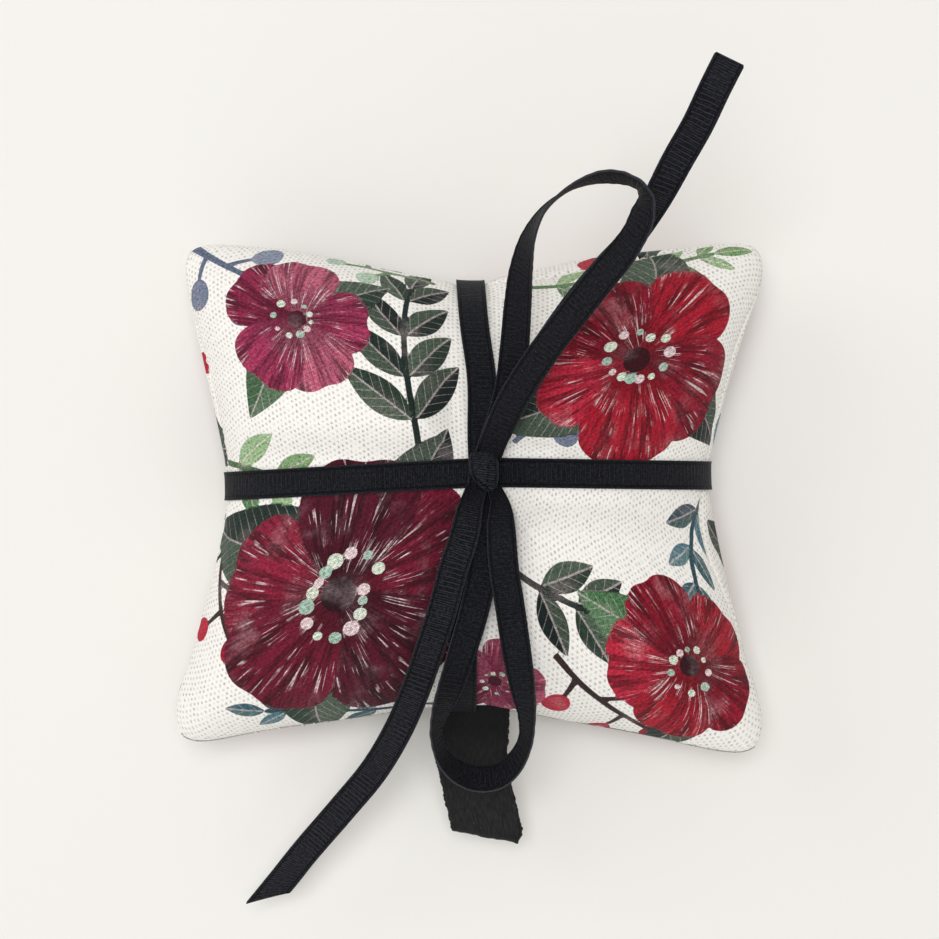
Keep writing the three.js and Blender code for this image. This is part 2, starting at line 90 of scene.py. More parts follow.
def add_node(tree, kind, inputs=(), **settings):
    """A shader node with its settings. Its inputs are a list in the sockets' order, or go by their names.
    Each is a value or a link, and a node given there links its first live output."""
    made = tree.nodes.new("ShaderNode" + kind)
    for name, value in settings.items():
        setattr(made, name, value)
    for key, value in inputs.items() if isinstance(inputs, dict) else enumerate(inputs):
        if isinstance(value, bpy.types.Node):
            value = next(output for output in value.outputs if output.enabled)
        if isinstance(value, bpy.types.NodeSocket):
            tree.links.new(value, made.inputs[key])
        else:
            made.inputs[key].default_value = value
    return made


ADD, SUBTRACT, MULTIPLY = ({"operation": name} for name in ("ADD", "SUBTRACT", "MULTIPLY"))
SMOOTH = {"interpolation_type": "SMOOTHSTEP"}
COLOURS = {"data_type": "RGBA"}


def new_material(name):
    """An empty material, and the function that adds nodes to it."""
    material = bpy.data.materials.new(name)
    material.use_nodes = True
    material.node_tree.nodes.clear()
    return material, partial(add_node, material.node_tree)


# Meshes from rows and columns of points


def surface(name, points, cloth, wrap_rows=False, wrap_columns=False, caps=False):
    """A mesh of quads through a grid of points, with cloth coordinates in millimetres as its UV map."""
    rows, columns = points.shape[:2]
    r, c = np.meshgrid(
        np.arange(rows if wrap_rows else rows - 1),
        np.arange(columns if wrap_columns else columns - 1),
        indexing="ij",
    )
    corners = [(r, c), (r, c + 1), (r + 1, c + 1), (r + 1, c)]
    faces = np.stack([(a % rows) * columns + b % columns for a, b in corners], axis=-1)
    faces = faces.reshape(-1, 4).tolist()
    uvs = np.stack([cloth[a, b] for a, b in corners], axis=-2).reshape(-1, 2)
    if caps:
        first = list(range(columns))
        last = [(rows - 1) * columns + k for k in range(columns)]
        faces += [first[::-1], last]
        uvs = np.concatenate([uvs, cloth[0, :columns][::-1], cloth[-1, :columns]])
    mesh = bpy.data.meshes.new(name)
    mesh.from_pydata(points.reshape(-1, 3).tolist(), [], faces)
    mesh.uv_layers.new(name="cloth").data.foreach_set("uv", uvs.astype(np.float32).ravel())
    made = bpy.data.objects.new(name, mesh)
    bpy.context.scene.collection.objects.link(made)
    mesh.shade_smooth()
    return made


def normalised(vectors):
    return vectors / np.maximum(np.linalg.norm(vectors, axis=-1, keepdims=True), 1e-12)


def cut_to(values, low, high):
    return np.minimum(np.maximum(values, low), high)


def reach_along(points, closed=False):
    """How far along its row each point lies. A closed row ends with the way back to its first point."""
    if closed:
        points = np.concatenate([points, points[:1]])
    return np.concatenate([[0], np.cumsum(np.linalg.norm(np.diff(points, axis=0), axis=1))])


def read_along(even, reach, rows):
    """Rows of values that lie at reach, read at even."""
    return np.stack([np.interp(even, reach, column) for column in rows.T], axis=1)


def averaged(values, window):
    """Each value averaged with its neighbours."""
    weights = np.hanning(window)
    inner = weights[1:-1]
    return np.convolve(np.pad(values, len(inner) // 2, mode="edge"), inner / weights.sum(), mode="valid")


def store(piece, name, kind, values):
    """Keeps a number, a vector or a colour at each point of a piece, for its material."""
    field = {"FLOAT": "value", "FLOAT_VECTOR": "vector", "FLOAT_COLOR": "color"}[kind]
    layer = piece.data.attributes.new(name, kind, "POINT")
    layer.data.foreach_set(field, values.astype(np.float32).ravel())


def dress(piece, node, material):
    """Gives a finished piece on the pillow its material, and says which node it replaces."""
    piece.data.materials.append(material)
    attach(piece, "pillow")
    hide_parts(node)


# Ribbon: one length of 6 mm grosgrain in stretches, each a flat strip with thicker woven edges

RIBBON_WIDTH = 6.0
RIBBON_THICKNESS = 0.36
knot_low, knot_high = (np.array(corner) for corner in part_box("bow_knot"))
knot_centre = (knot_low + knot_high) / 2

# Routes of the free stretches from the knot's centre: x, y, z in millimetres and the lean in degrees
upper_tail_route = [
    (0.9, 3.4, -0.5, 0), (2.4, 7.5, 1.6, 0), (4.7, 12.1, 4.4, 0), (8.5, 18.6, 8.3, 0),
    (13.1, 25.6, 12.8, 0), (18.1, 32.6, 17.0, 8), (23.3, 39.0, 21.0, 22), (28.4, 45.2, 25.0, 40),
    (32.4, 51.6, 29.1, 24), (35.9, 58.2, 33.3, 5), (39.3, 64.3, 37.4, 0), (42.1, 70.4, 41.2, 0),
    (44.5, 75.3, 44.4, 0),
]
upper_loop_route = [
    (0.6, 3.4, -1.4, 0), (2.2, 7.6, -0.5, 0), (4.0, 12.4, 0.8, 0), (5.3, 18.0, 2.6, -4),
    (6.1, 25.2, 6.1, -14), (6.7, 33.2, 11.3, -28), (7.3, 39.7, 16.0, -44), (8.7, 45.3, 20.6, -62),
    (11.3, 49.7, 24.4, -77), (14.8, 52.7, 27.6, -88), (18.9, 54.6, 29.8, -98), (22.8, 55.3, 31.4, -106),
    (26.3, 54.8, 32.6, -102), (28.9, 53.3, 33.2, -96), (30.0, 51.0, 32.9, -112), (29.5, 48.4, 31.8, -138),
    (28.0, 44.7, 29.6, -143), (25.7, 41.2, 27.2, -160),
    (22.5, 37.4, 24.0, -175), (17.1, 30.6, 18.6, -180), (11.1, 22.8, 12.6, -180),
    (5.7, 14.4, 7.1, -180), (2.7, 7.9, 3.0, -180), (0.9, 3.4, 0.6, -180),
]
lower_loop_route = [
    (0.8, -3.4, -1.4, 0), (1.2, -8.2, -1.2, 0), (0.4, -14.8, -0.8, 0), (-0.6, -21.9, -0.5, 0),
    (-2.4, -29.6, -0.4, -6), (-4.8, -37.3, -1.0, -20), (-7.1, -44.3, -2.1, -34), (-8.9, -49.1, -3.4, -56),
    (-9.8, -53.7, -4.5, -70), (-8.3, -58.7, -5.8, -62), (-4.9, -61.7, -6.5, -44), (-0.8, -62.9, -6.9, -32),
    (3.0, -62.3, -6.6, -38), (6.3, -59.6, -5.8, -52), (8.5, -55.3, -4.4, -64), (8.8, -50.0, -2.5, -58),
    (7.9, -44.1, -0.8, -36), (6.5, -35.9, 1.2, -12), (5.2, -27.4, 2.6, 0), (3.9, -18.9, 3.0, 0),
    (3.4, -11.6, 2.4, 0), (3.2, -6.6, 1.0, 0), (2.1, -3.4, 0.0, 0),
]
lower_tail_route = [
    (-1.6, -3.4, -0.5, 0), (-2.8, -7.3, 0.4, 0), (-4.1, -13.2, 0.8, 0), (-6.3, -20.0, 0.5, 0),
    (-8.5, -28.2, -0.4, 0), (-11.2, -36.6, -1.9, 0), (-14.1, -44.9, -4.5, 0), (-17.6, -53.0, -7.8, 0),
    (-22.7, -61.8, -11.8, 0), (-29.6, -70.5, -16.1, 0), (-37.5, -80.1, -21.4, 0), (-42.4, -86.5, -24.8, 0),
    (-46.1, -91.2, -27.4, 0),
]
LOWER_TAIL_SLANT = 9.0


def smooth_route(route, step):
    """Points about step millimetres apart on a smooth curve through the route, and the lean at each."""
    knots = np.array(route, float)
    knots = np.concatenate([[2 * knots[0] - knots[1]], knots, [2 * knots[-1] - knots[-2]]])
    knots[0, 3], knots[-1, 3] = knots[1, 3], knots[-2, 3]
    curve = []
    for i in range(1, len(knots) - 2):
        before, start, end, after = knots[i - 1 : i + 3]
        first, own, last = (
            np.linalg.norm((b - a)[:3]) ** 0.5 for a, b in ((before, start), (start, end), (end, after))
        )
        leaving = (start - before) / first - (end - before) / (first + own) + (end - start) / own
        arriving = (end - start) / own - (after - start) / (own + last) + (after - end) / last
        leaving, arriving = leaving * own, arriving * own
        t = np.linspace(0, 1, 24, endpoint=False)[:, None]
        curve.append(
            (2 * t**3 - 3 * t**2 + 1) * start + (t**3 - 2 * t**2 + t) * leaving
            + (3 * t**2 - 2 * t**3) * end + (t**3 - t**2) * arriving
        )
    dense = np.concatenate(curve + [knots[-2:-1]])
    reach = reach_along(dense[:, :3])
    even = np.linspace(0, reach[-1], int(round(reach[-1] / step)) + 1)
    rows = read_along(even, reach, dense)
    return rows[:, :3] * MM + knot_centre, np.radians(rows[:, 3]), reach[-1] * MM


def strip_section(width, thickness, fine):
    """The round of one ribbon section: shares across, and heights above its middle."""
    inner = np.linspace(-0.8, 0.8, 37) if fine else np.array([-0.8, -0.6, -0.35, 0, 0.35, 0.6, 0.8])
    across = np.concatenate([[-1, -0.985, -0.93, -0.86], inner, [0.86, 0.93, 0.985, 1]])
    swell = 1 + EDGE_SWELL * np.exp(-(((np.abs(across) - 0.93) / 0.07) ** 2))
    half = thickness / 2 * swell * np.where(np.abs(across) > 0.99, 0.45, 1)
    around = np.concatenate([across[::-1], across])
    heights = np.concatenate([half, -half])
    return around * width / 2, heights


EDGE_SWELL = 0.35
FOLD_UNEVENNESS = 0.2


def strip(
    name, centres, sides, faces, width, thickness, cup,
    shares=None, closed=False, slant=0.0, ragged=0.0, fold=None,
):
    """A flat woven strip along a row of points. cup and ragged are how far its edges rise and stray, and
    slant how far its last end is cut aslant, in millimetres. shares narrow it, and fold says how much each
    row belongs to a fold, which is uneven too."""
    across, heights = strip_section(width, thickness, fold is not None)
    shares = np.ones(len(centres)) if shares is None else shares
    cup = np.broadcast_to(np.asarray(cup, float), (len(centres),))
    bow = (across / (width / 2)) ** 2 - 0.35
    points = (
        centres[:, None, :]
        + sides[:, None, :] * (across[None, :, None] * shares[:, None, None] * MM)
        + faces[:, None, :] * ((heights[None, :, None] + bow[None, :, None] * cup[:, None, None]) * MM)
    )
    along = reach_along(centres, closed) / MM
    if ragged:
        end = across[None, :] / (width / 2)
        fine_stray = hash_noise(along[:, None] / 0.45, end * 0 + np.sign(end), 5)
        broad_stray = hash_noise(along[:, None] / 1.7, end * 0, 8)
        outward = end * np.abs(end) ** 6 * (fine_stray + broad_stray) * ragged * MM
        points = points + sides[:, None, :] * outward[:, :, None]
    if fold is not None:
        uneven = hash_noise(across / 0.9, across * 0, 3) + 0.6 * hash_noise(across / 2.6, across * 0, 6)
        points[:, :, 1] += fold[:, None] * uneven[None, :] * FOLD_UNEVENNESS * MM
    if slant:
        ahead = normalised(centres[-1] - centres[-2])
        reach = cut_to((along - along[-1] + 2 * abs(slant)) / (2 * abs(slant)), 0, 1) ** 2
        shift = -(across / (width / 2)) * slant / 2
        points = points + ahead * (reach[:, None] * shift[None, :])[:, :, None] * MM
    wide = np.append(across, across[0])
    cloth = np.stack(np.meshgrid(wide, along, indexing="xy"), axis=-1)
    return surface(name, points, cloth, wrap_rows=closed, wrap_columns=True, caps=not closed)


ROW_STEP = 0.4
GATHER_REACH = 5.5
RIPPLE_HEIGHT = 0.06
SEALED_CORNER_SHARE = 0.93


def free_stretch(name, route, exit_share, slant, both_ends):
    """A free stretch of the bow: gathered at the knot, a little cupped, with faint ripples across it."""
    centres, lean, length = smooth_route(route, ROW_STEP)
    lean = averaged(lean, 15)
    along = normalised(np.gradient(centres, axis=0))
    level = normalised(np.cross(UP, along))
    flat = np.cross(along, level)
    sides = level * np.cos(lean)[:, None] + flat * np.sin(lean)[:, None]
    faces = flat * np.cos(lean)[:, None] - level * np.sin(lean)[:, None]
    reach = np.linspace(0, length / MM, len(centres))
    nearest = np.minimum(reach, length / MM - reach) if both_ends else reach
    gathered = np.exp(-((nearest / GATHER_REACH) ** 2))
    shares = 1 - (1 - exit_share) * gathered
    # The corners of a cut end are sealed a little round
    shares[-1] *= 1.0 if both_ends else SEALED_CORNER_SHARE
    wander = 0.12 * np.sin(reach / 9.0 + len(route)) + 0.08 * np.sin(reach / 4.1)
    cup = 0.22 + wander + 0.7 * gathered
    fresh = cut_to((nearest - 6) / 12, 0, 1)
    swing = 0.5 + 0.5 * np.sin(reach / 7.3 + len(route) * 1.7)
    ripple = RIPPLE_HEIGHT * fresh * swing * np.sin(reach * 2.73 + 1.4 * np.sin(reach / 5.0) + len(route))
    rippled = centres + faces * (ripple * MM)[:, None]
    made = strip(name, rippled, sides, faces, RIBBON_WIDTH, RIBBON_THICKNESS, cup, shares, slant=slant)
    # Painted shade: how near each row lies to the knot, which darkens the ribbon's crests there
    store(made, "painted_knot_shade", "FLOAT", np.repeat(gathered, len(made.data.vertices) // len(gathered)))
    return made, centres, length


def declare_stretch(name, made):
    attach(made, "pillow")
    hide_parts(name)


stretches = {}
for name, route, far_end, exit_share, slant in (
    ("bow_tail_upper", upper_tail_route, "bare", 0.9, 0.0),
    ("bow_loop_upper", upper_loop_route, "object", 0.84, 0.0),
    ("bow_loop_lower", lower_loop_route, "object", 0.5, 0.0),
    ("bow_tail_lower", lower_tail_route, "bare", 0.72, LOWER_TAIL_SLANT),
):
    made, centres, length = free_stretch(name + "_ribbon", route, exit_share, slant, far_end == "object")
    declare_stretch(name, made)
    stretches[name] = made


# Pillow: a front and a back panel of printed canvas, sewn round and stuffed

CORNER_WIDTH = 126.0
CORNER_DEPTH = 111.0
WAIST_WIDTH = 102.1
WAIST_DEPTH = 90.9
SEAM_HEIGHT = 20.0
CUT_HALF_WIDTH = 64.0
CUT_HALF_DEPTH = 57.0
corner_shares = {
    (-1, 1): (-0.494, 0.499), (1, 1): (0.511, 0.503), (-1, -1): (-0.507, -0.478), (1, -1): (0.5095, -0.502),
}
side_waist_shares = {-1: (-0.499, 0.031), 1: (0.501, 0.056)}
end_waist_shares = {1: (0.003, 0.509), -1: (-0.015, -0.491)}
knot_shares = (0.03, 0.064)
WAIST_ROUNDING = 0.18
CORNER_ROUNDING = 0.045
CROWN_POWER = 0.55
VALLEY_FLOOR = 3.6
VALLEY_SLOPE = 9.0
pouch_low, pouch_high = (np.array(corner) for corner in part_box("pouch_front"))
pillow_middle = (pouch_low + pouch_high)[:2] / 2 / MM

front = {"sign": 1, "crown": 21.5, "valley": 4.5, "flatness": 2.6}
back = {"sign": -1, "crown": 20.5, "valley": 3.0, "flatness": 5.0}

# How far each side's outline stands out from the plain plan: place along the side, spread, millimetres
outline_swells = {
    "top": [(-0.6, 0.35, 1.6), (0.45, 0.3, 1.5), (0.0, 0.09, -1.9)],
    "bottom": [
        (-0.7, 0.25, -1.2), (-0.36, 0.2, -0.7), (-0.17, 0.14, -0.8),
        (0.06, 0.16, -0.6), (0.22, 0.22, -0.7), (0.6, 0.25, -0.85),
    ],
    "left": [(-0.35, 0.25, -0.4), (-0.9, 0.15, 1.4)],
    "right": [(0.0, 0.1, -0.6), (-0.88, 0.15, 1.2), (0.88, 0.15, 0.9)],
}
# How far the seam is rolled up on to the front: place along the side, spread, share of the half width
seam_rolls = {
    "left": [(0.35, 0.3, 0.012)],
    "right": [(0.4, 0.35, 0.016), (-0.22, 0.2, 0.075)],
    "top": [(0.35, 0.3, 0.05)],
    "bottom": [],
}


def bumps(place, rows):
    """The sum of smooth bumps along a side. Each fades out before the corners."""
    total = 0.0 * place
    for at, spread, height in rows:
        total = total + height * np.exp(-(((place - at) / spread) ** 2))
    return total * (1 - np.abs(place) ** 6)


def soften(share):
    return (np.hypot(share, WAIST_ROUNDING) - WAIST_ROUNDING) / (np.hypot(1, WAIST_ROUNDING) - WAIST_ROUNDING)


def pillow_plan(u, v):
    """Plan of the pillow in millimetres from its middle. The two bands lie on u = 0 and v = 0."""
    a = np.abs(u * (1 - CORNER_ROUNDING * np.abs(v) ** 20))
    b = np.abs(v * (1 - CORNER_ROUNDING * np.abs(u) ** 20))
    waist = np.array([WAIST_WIDTH, WAIST_DEPTH])
    knot = np.array(knot_shares) * waist
    su, sv = np.where(u < 0, -1, 1), np.where(v < 0, -1, 1)
    side = np.where(su[..., None] < 0, side_waist_shares[-1], side_waist_shares[1]) * waist - knot
    end = np.where(sv[..., None] < 0, end_waist_shares[-1], end_waist_shares[1]) * waist - knot
    tips = np.array([[corner_shares[x, y] for y in (-1, 1)] for x in (-1, 1)])
    tip = tips[(su + 1) // 2, (sv + 1) // 2] * np.array([CORNER_WIDTH, CORNER_DEPTH]) - knot
    plan = knot + side * a[..., None] + end * b[..., None]
    plan = plan + (tip - side - end) * (soften(a) * soften(b))[..., None]
    fade_u, fade_v = np.abs(u) ** 5, np.abs(v) ** 5
    plan[..., 0] -= np.where(u < 0, fade_u * bumps(v, outline_swells["left"]), 0)
    plan[..., 0] += np.where(u > 0, fade_u * bumps(v, outline_swells["right"]), 0)
    plan[..., 1] += np.where(v > 0, fade_v * bumps(u, outline_swells["top"]), 0)
    plan[..., 1] -= np.where(v < 0, fade_v * bumps(u, outline_swells["bottom"]), 0)
    return plan


def crown(u, v, flatness):
    return ((1 - np.abs(u) ** flatness) * (1 - np.abs(v) ** flatness)) ** CROWN_POWER


def valley(share, span):
    """1 on the floor of a band's valley, and 0 outside it."""
    outside = cut_to((np.abs(share) * span / 2 - VALLEY_FLOOR) / VALLEY_SLOPE, 0, 1)
    return 0.5 + 0.5 * np.cos(np.pi * outside)


def plain_pillow(half, u, v):
    """The front or back of the pillow before the stuffing rounds it, in metres."""
    u, v = np.broadcast_arrays(cut_to(u, -1, 1), cut_to(v, -1, 1))
    plan = pillow_plan(u, v) + pillow_middle
    painted_knot_shade = np.maximum(valley(u, WAIST_WIDTH), valley(v, WAIST_DEPTH)) * half["valley"] / half["crown"]
    rise = half["crown"] * crown(u, v, half["flatness"]) * (1 - painted_knot_shade)
    z = np.maximum(SEAM_HEIGHT + half["sign"] * rise, 0)
    return np.concatenate([plan, z[..., None]], axis=-1) * MM


MEAN_HALF_SPAN = 55


def even_stations(count):
    """Shares from -1 to 1 that lie evenly along the rounded section of the pillow."""
    fine = np.sin(np.linspace(-np.pi / 2, np.pi / 2, 4001))
    height = front["crown"] * (1 - np.abs(fine) ** front["flatness"]) ** CROWN_POWER / MEAN_HALF_SPAN
    reach = np.concatenate([[0], np.cumsum(np.hypot(np.diff(fine), np.diff(height)))])
    return np.interp(np.linspace(0, reach[-1], count), reach, fine)


# The stuffing: the plain form is blown up as cloth, held at its seam and under the ribbon

SIM_COLUMNS = 65
SIM_ROWS = 57
# The cloth is blown up at four times its size, and no point moves further than the cap, in millimetres
SIM_SCALE = 4.0
SIM_FRAMES = 20
SWELL_CAP = 2.6
# The ribbon holds the cloth this near to its middle, and the table holds what lies this low, in millimetres
HELD_REACH = 3.4
TABLE_REACH = 0.4
sim_u = even_stations(SIM_COLUMNS)
sim_v = even_stations(SIM_ROWS)


def stuffed_shift():
    """How far the stuffing moves each point of the front and of the back, in metres."""
    grid_u, grid_v = np.meshgrid(sim_u, sim_v)
    tops, unders = plain_pillow(front, grid_u, grid_v), plain_pillow(back, grid_u, grid_v)
    count = SIM_ROWS * SIM_COLUMNS
    cell = np.arange(count).reshape(SIM_ROWS, SIM_COLUMNS)
    under_cell = cell.copy()
    under_cell[1:-1, 1:-1] += count
    corners = [(0, 0), (0, 1), (1, 1), (1, 0)]
    ends = (SIM_ROWS - 1, SIM_COLUMNS - 1)
    faces = np.stack([cell[r : ends[0] + r, c : ends[1] + c] for r, c in corners], axis=-1).reshape(-1, 4)
    below = np.stack([under_cell[r : ends[0] + r, c : ends[1] + c] for r, c in corners[::-1]], axis=-1)
    rest = np.concatenate([tops.reshape(-1, 3), unders.reshape(-1, 3)])
    mesh = bpy.data.meshes.new("stuffing")
    mesh.from_pydata((rest * SIM_SCALE).tolist(), [], faces.tolist() + below.reshape(-1, 4).tolist())
    made = bpy.data.objects.new("stuffing", mesh)
    bpy.context.scene.collection.objects.link(made)
    across, along = np.abs(grid_u) * WAIST_WIDTH / 2, np.abs(grid_v) * WAIST_DEPTH / 2
    rim = (np.abs(grid_u) > 0.999) | (np.abs(grid_v) > 0.999)
    held = np.where(rim | (across < HELD_REACH) | (along < HELD_REACH), 1.0, 0.0)
    under_held = np.maximum(held, np.where(unders[..., 2] < TABLE_REACH * MM, 1.0, 0.0))
    group = made.vertex_groups.new(name="held")
    for index, weight in enumerate(np.concatenate([held.ravel(), under_held.ravel()])):
        if weight > 0:
            group.add([index], float(weight), "REPLACE")
    deselect_all()
    cloth = made.modifiers.new("Cloth", "CLOTH")
    for setting, value in {
        "vertex_group_mass": "held", "use_pressure": True, "uniform_pressure_force": 5.0, "quality": 6,
        "tension_stiffness": 18, "compression_stiffness": 18, "shear_stiffness": 6,
        "bending_stiffness": 0.8, "shrink_min": -0.008,
    }.items():
        setattr(cloth.settings, setting, value)
    cloth.settings.effector_weights.gravity = 0
    cloth.point_cache.frame_start = 1
    cloth.point_cache.frame_end = SIM_FRAMES
    scene = bpy.context.scene
    for step in range(1, SIM_FRAMES + 1):
        scene.frame_set(step)
    evaluated = made.evaluated_get(bpy.context.evaluated_depsgraph_get())
    moved = np.empty(2 * count * 3)
    evaluated.data.vertices.foreach_get("co", moved)
    moved = moved.reshape(-1, 3) / SIM_SCALE
    bpy.data.objects.remove(made)
    bpy.data.meshes.remove(mesh)
    scene.frame_set(1)
    shift = moved - rest
    far = np.linalg.norm(shift, axis=1, keepdims=True)
    shift = shift * (SWELL_CAP * MM) / np.maximum(far, SWELL_CAP * MM)
    shift = shift.reshape(2, SIM_ROWS, SIM_COLUMNS, 3)
    shift[:, rim] = 0
    # Near the corners the grid is cramped, so the shift is averaged there
    edge = np.minimum(1 - np.abs(grid_u), 1 - np.abs(grid_v))
    calm = (cut_to(1 - edge / 0.25, 0, 1) * np.abs(grid_u * grid_v) ** 1.5)[..., None]
    for _ in range(8):
        inner = shift.copy()
        upright = shift[:, :-2, 1:-1] + shift[:, 2:, 1:-1]
        inner[:, 1:-1, 1:-1] = 0.25 * (upright + shift[:, 1:-1, :-2] + shift[:, 1:-1, 2:])
        shift = shift * (1 - calm) + inner * calm
        shift[:, rim] = 0
    return shift


shifts = np.zeros((2, SIM_ROWS, SIM_COLUMNS, 3))
shifts = stuffed_shift()


def sampled(field, u, v):
    """A field on the simulation's stations, read smoothly at any u and v."""
    places = []
    for share, stations in ((v, sim_v), (u, sim_u)):
        place = np.interp(share, stations, np.arange(len(stations)))
        low = cut_to(np.floor(place), 0, len(stations) - 2).astype(int)
        places.append((low, place - low, len(stations)))
    (row, y, rows), (column, x, columns) = places
    total = 0

    def weights(t):
        return [
            -0.5 * t**3 + t**2 - 0.5 * t, 1.5 * t**3 - 2.5 * t**2 + 1,
            -1.5 * t**3 + 2 * t**2 + 0.5 * t, 0.5 * t**3 - 0.5 * t**2,
        ]

    for i, wy in enumerate(weights(y)):
        r = cut_to(row + i - 1, 0, rows - 1)
        for k, wx in enumerate(weights(x)):
            c = cut_to(column + k - 1, 0, columns - 1)
            total = total + field[r, c] * (wy * wx)[..., None]
    return total


def pillow_surface(half, u, v):
    """The finished pillow's front or back, in metres."""
    u, v = np.broadcast_arrays(u, v)
    shift = sampled(shifts[0 if half is front else 1], cut_to(u, -1, 1), cut_to(v, -1, 1))
    points = plain_pillow(half, u, v) + shift
    points[..., 2] = np.maximum(points[..., 2], 0)
    return points


def grid_normals(points):
    rows, columns = np.gradient(points, axis=0), np.gradient(points, axis=1)
    return normalised(np.cross(columns, rows))


def hash_noise(x, y, seed):
    """Smooth noise from -1 to 1 at any place, about one swing to a unit."""
    xi, yi = np.floor(x), np.floor(y)
    fx, fy = x - xi, y - yi
    fx, fy = fx * fx * (3 - 2 * fx), fy * fy * (3 - 2 * fy)

    def corner(a, b):
        value = np.sin(a * 127.1 + b * 311.7 + seed * 74.7) * 43758.5453
        return value - np.floor(value)

    low = corner(xi, yi) * (1 - fx) + corner(xi + 1, yi) * fx
    high = corner(xi, yi + 1) * (1 - fx) + corner(xi + 1, yi + 1) * fx
    return 2 * (low * (1 - fy) + high * fy) - 1


def arc_shares(points, axis, middle):
    """Where each point lies along its row or column of cloth: -1 and 1 at the seams, 0 at the middle one."""
    steps = np.linalg.norm(np.diff(points, axis=axis), axis=-1)
    pad = [(0, 0), (0, 0)]
    pad[axis] = (1, 0)
    reach = np.pad(np.cumsum(steps, axis=axis), pad)
    start = np.take(reach, [middle], axis=axis)
    end = np.take(reach, [-1], axis=axis)
    return np.where(reach < start, (reach - start) / start, (reach - start) / (end - start))


SEAM_DIP = 0.55
SEAM_DIP_REACH = 1.3
PUCKER_HEIGHT = 0.16
PUCKER_REACH = 5.0


def seam_groove(points, seam_distance, place, seed):
    """The panel's edge, drawn in at the seam with small puckers."""
    normals = grid_normals(points)
    near = cut_to(1 - seam_distance / SEAM_DIP_REACH, 0, 1) ** 2
    wide = cut_to(1 - seam_distance / PUCKER_REACH, 0, 1) ** 2
    pucker = hash_noise(place / 2.4, place * 0 + seed, seed)
    pucker = pucker + 0.5 * hash_noise(place / 5.1, place * 0, seed + 3)
    depth = SEAM_DIP * near - wide * (1 - near) * pucker * PUCKER_HEIGHT
    return points - normals * (depth * MM)[..., None]


PANEL_COLUMNS, PANEL_ROWS = 271, 241
ROLL_STATIONS = 6


def front_cover():
    """The front panel, up to the seam wherever it lies."""
    p, q = np.meshgrid(even_stations(PANEL_COLUMNS), even_stations(PANEL_ROWS))
    roll_u = np.where(p < 0, bumps(q, seam_rolls["left"]), bumps(q, seam_rolls["right"]))
    roll_v = np.where(q < 0, bumps(p, seam_rolls["bottom"]), bumps(p, seam_rolls["top"]))
    points = pillow_surface(front, p * (1 - roll_u), q * (1 - roll_v))
    return finish_cover("front_cover", points, 1)


def back_cover():
    """The back panel, with the strips of it that are rolled up on to the front beyond its outline."""
    def stations(count):
        inner = even_stations(count)
        strip_steps = np.linspace(0, 1, ROLL_STATIONS + 1)[1:]
        return np.concatenate([-1 - strip_steps[::-1], inner, 1 + strip_steps])

    p, q = np.meshgrid(stations(PANEL_COLUMNS), stations(PANEL_ROWS))
    over_u, over_v = cut_to(np.abs(p) - 1, 0, 1), cut_to(np.abs(q) - 1, 0, 1)
    inner_p, inner_q = cut_to(p, -1, 1), cut_to(q, -1, 1)
    roll_u = np.where(p < 0, bumps(inner_q, seam_rolls["left"]), bumps(inner_q, seam_rolls["right"]))
    roll_v = np.where(q < 0, bumps(inner_p, seam_rolls["bottom"]), bumps(inner_p, seam_rolls["top"]))
    u, v = inner_p * (1 - roll_u * over_u), inner_q * (1 - roll_v * over_v)
    rolled = ((over_u > 0) | (over_v > 0))[..., None]
    points = np.where(rolled, pillow_surface(front, u, v), pillow_surface(back, u, v))
    return finish_cover("back_cover", points[:, ::-1], 2)


def finish_cover(name, points, seed):
    rows, columns = points.shape[:2]
    s = arc_shares(points, 1, columns // 2)
    t = arc_shares(points, 0, rows // 2)
    cloth = np.stack([s * CUT_HALF_WIDTH, t * CUT_HALF_DEPTH], axis=-1)
    gap_s, gap_t = (1 - np.abs(s)) * CUT_HALF_WIDTH, (1 - np.abs(t)) * CUT_HALF_DEPTH
    place = np.where(gap_s < gap_t, cloth[..., 1], cloth[..., 0])
    points = seam_groove(points, np.minimum(gap_s, gap_t), place, seed)
    return surface(name, points, cloth), points, cloth


front_piece, front_points, front_cloth = front_cover()
back_piece, _, back_cloth = back_cover()


# Print: a plain garden pattern of round blossoms, leafy sprigs and berries, in the cloth's millimetres


def egg_outline(length, width, fullness, notch=0.0):
    """A closed berry or petal outline along +x, widest nearer its tip as fullness grows."""
    turn = np.linspace(0, 2 * np.pi, 60, endpoint=False)
    x = (1 - np.cos(turn)) / 2
    y = np.sin(turn) * (1 - fullness + 2 * fullness * x) / 2
    x = x - notch * np.exp(-(((turn - np.pi) / 0.22) ** 2))
    x = x - notch * 0.4 * np.exp(-(((turn - 2.5) / 0.2) ** 2))
    return np.stack([x * length, y * width], axis=-1)


def leaf_outline(length, width):
    """A closed outline pointed at both ends, widest a little before its middle."""
    x = np.linspace(0, 1, 24)
    half = width / 2 * np.sin(np.pi * x**0.85) ** 0.9
    top = np.stack([x * length, half], axis=-1)
    return np.concatenate([top, (top * [1, -1])[::-1][1:-1]])


def stem_outline(length, width, bend):
    """A thin stem that bends to one side."""
    x = np.linspace(0, 1, 20)
    middle = np.stack([x * length, bend * (x**2)], axis=-1)
    ahead = normalised(np.gradient(middle, axis=0))
    beside = np.stack([-ahead[:, 1], ahead[:, 0]], axis=-1) * (width / 2 * (1.1 - 0.3 * x))[:, None]
    return np.concatenate([middle + beside, (middle - beside)[::-1]])


def placed(x, y, turn, along, aside=0.0):
    """The place so far along and aside of a motif that lies at x, y with a turn in degrees."""
    a = math.radians(turn)
    return (
        x + along * math.cos(a) - aside * math.sin(a),
        y + along * math.sin(a) + aside * math.cos(a),
    )


PLAIN, PETAL, LEAF = 0.0, 1.0, 2.0
DOT_INKS = ("#dfe9d8", "#a9c6b6", "#e9d3d6")
STEM_WIDTH = 1.3
TWIG_WIDTH = 1.15


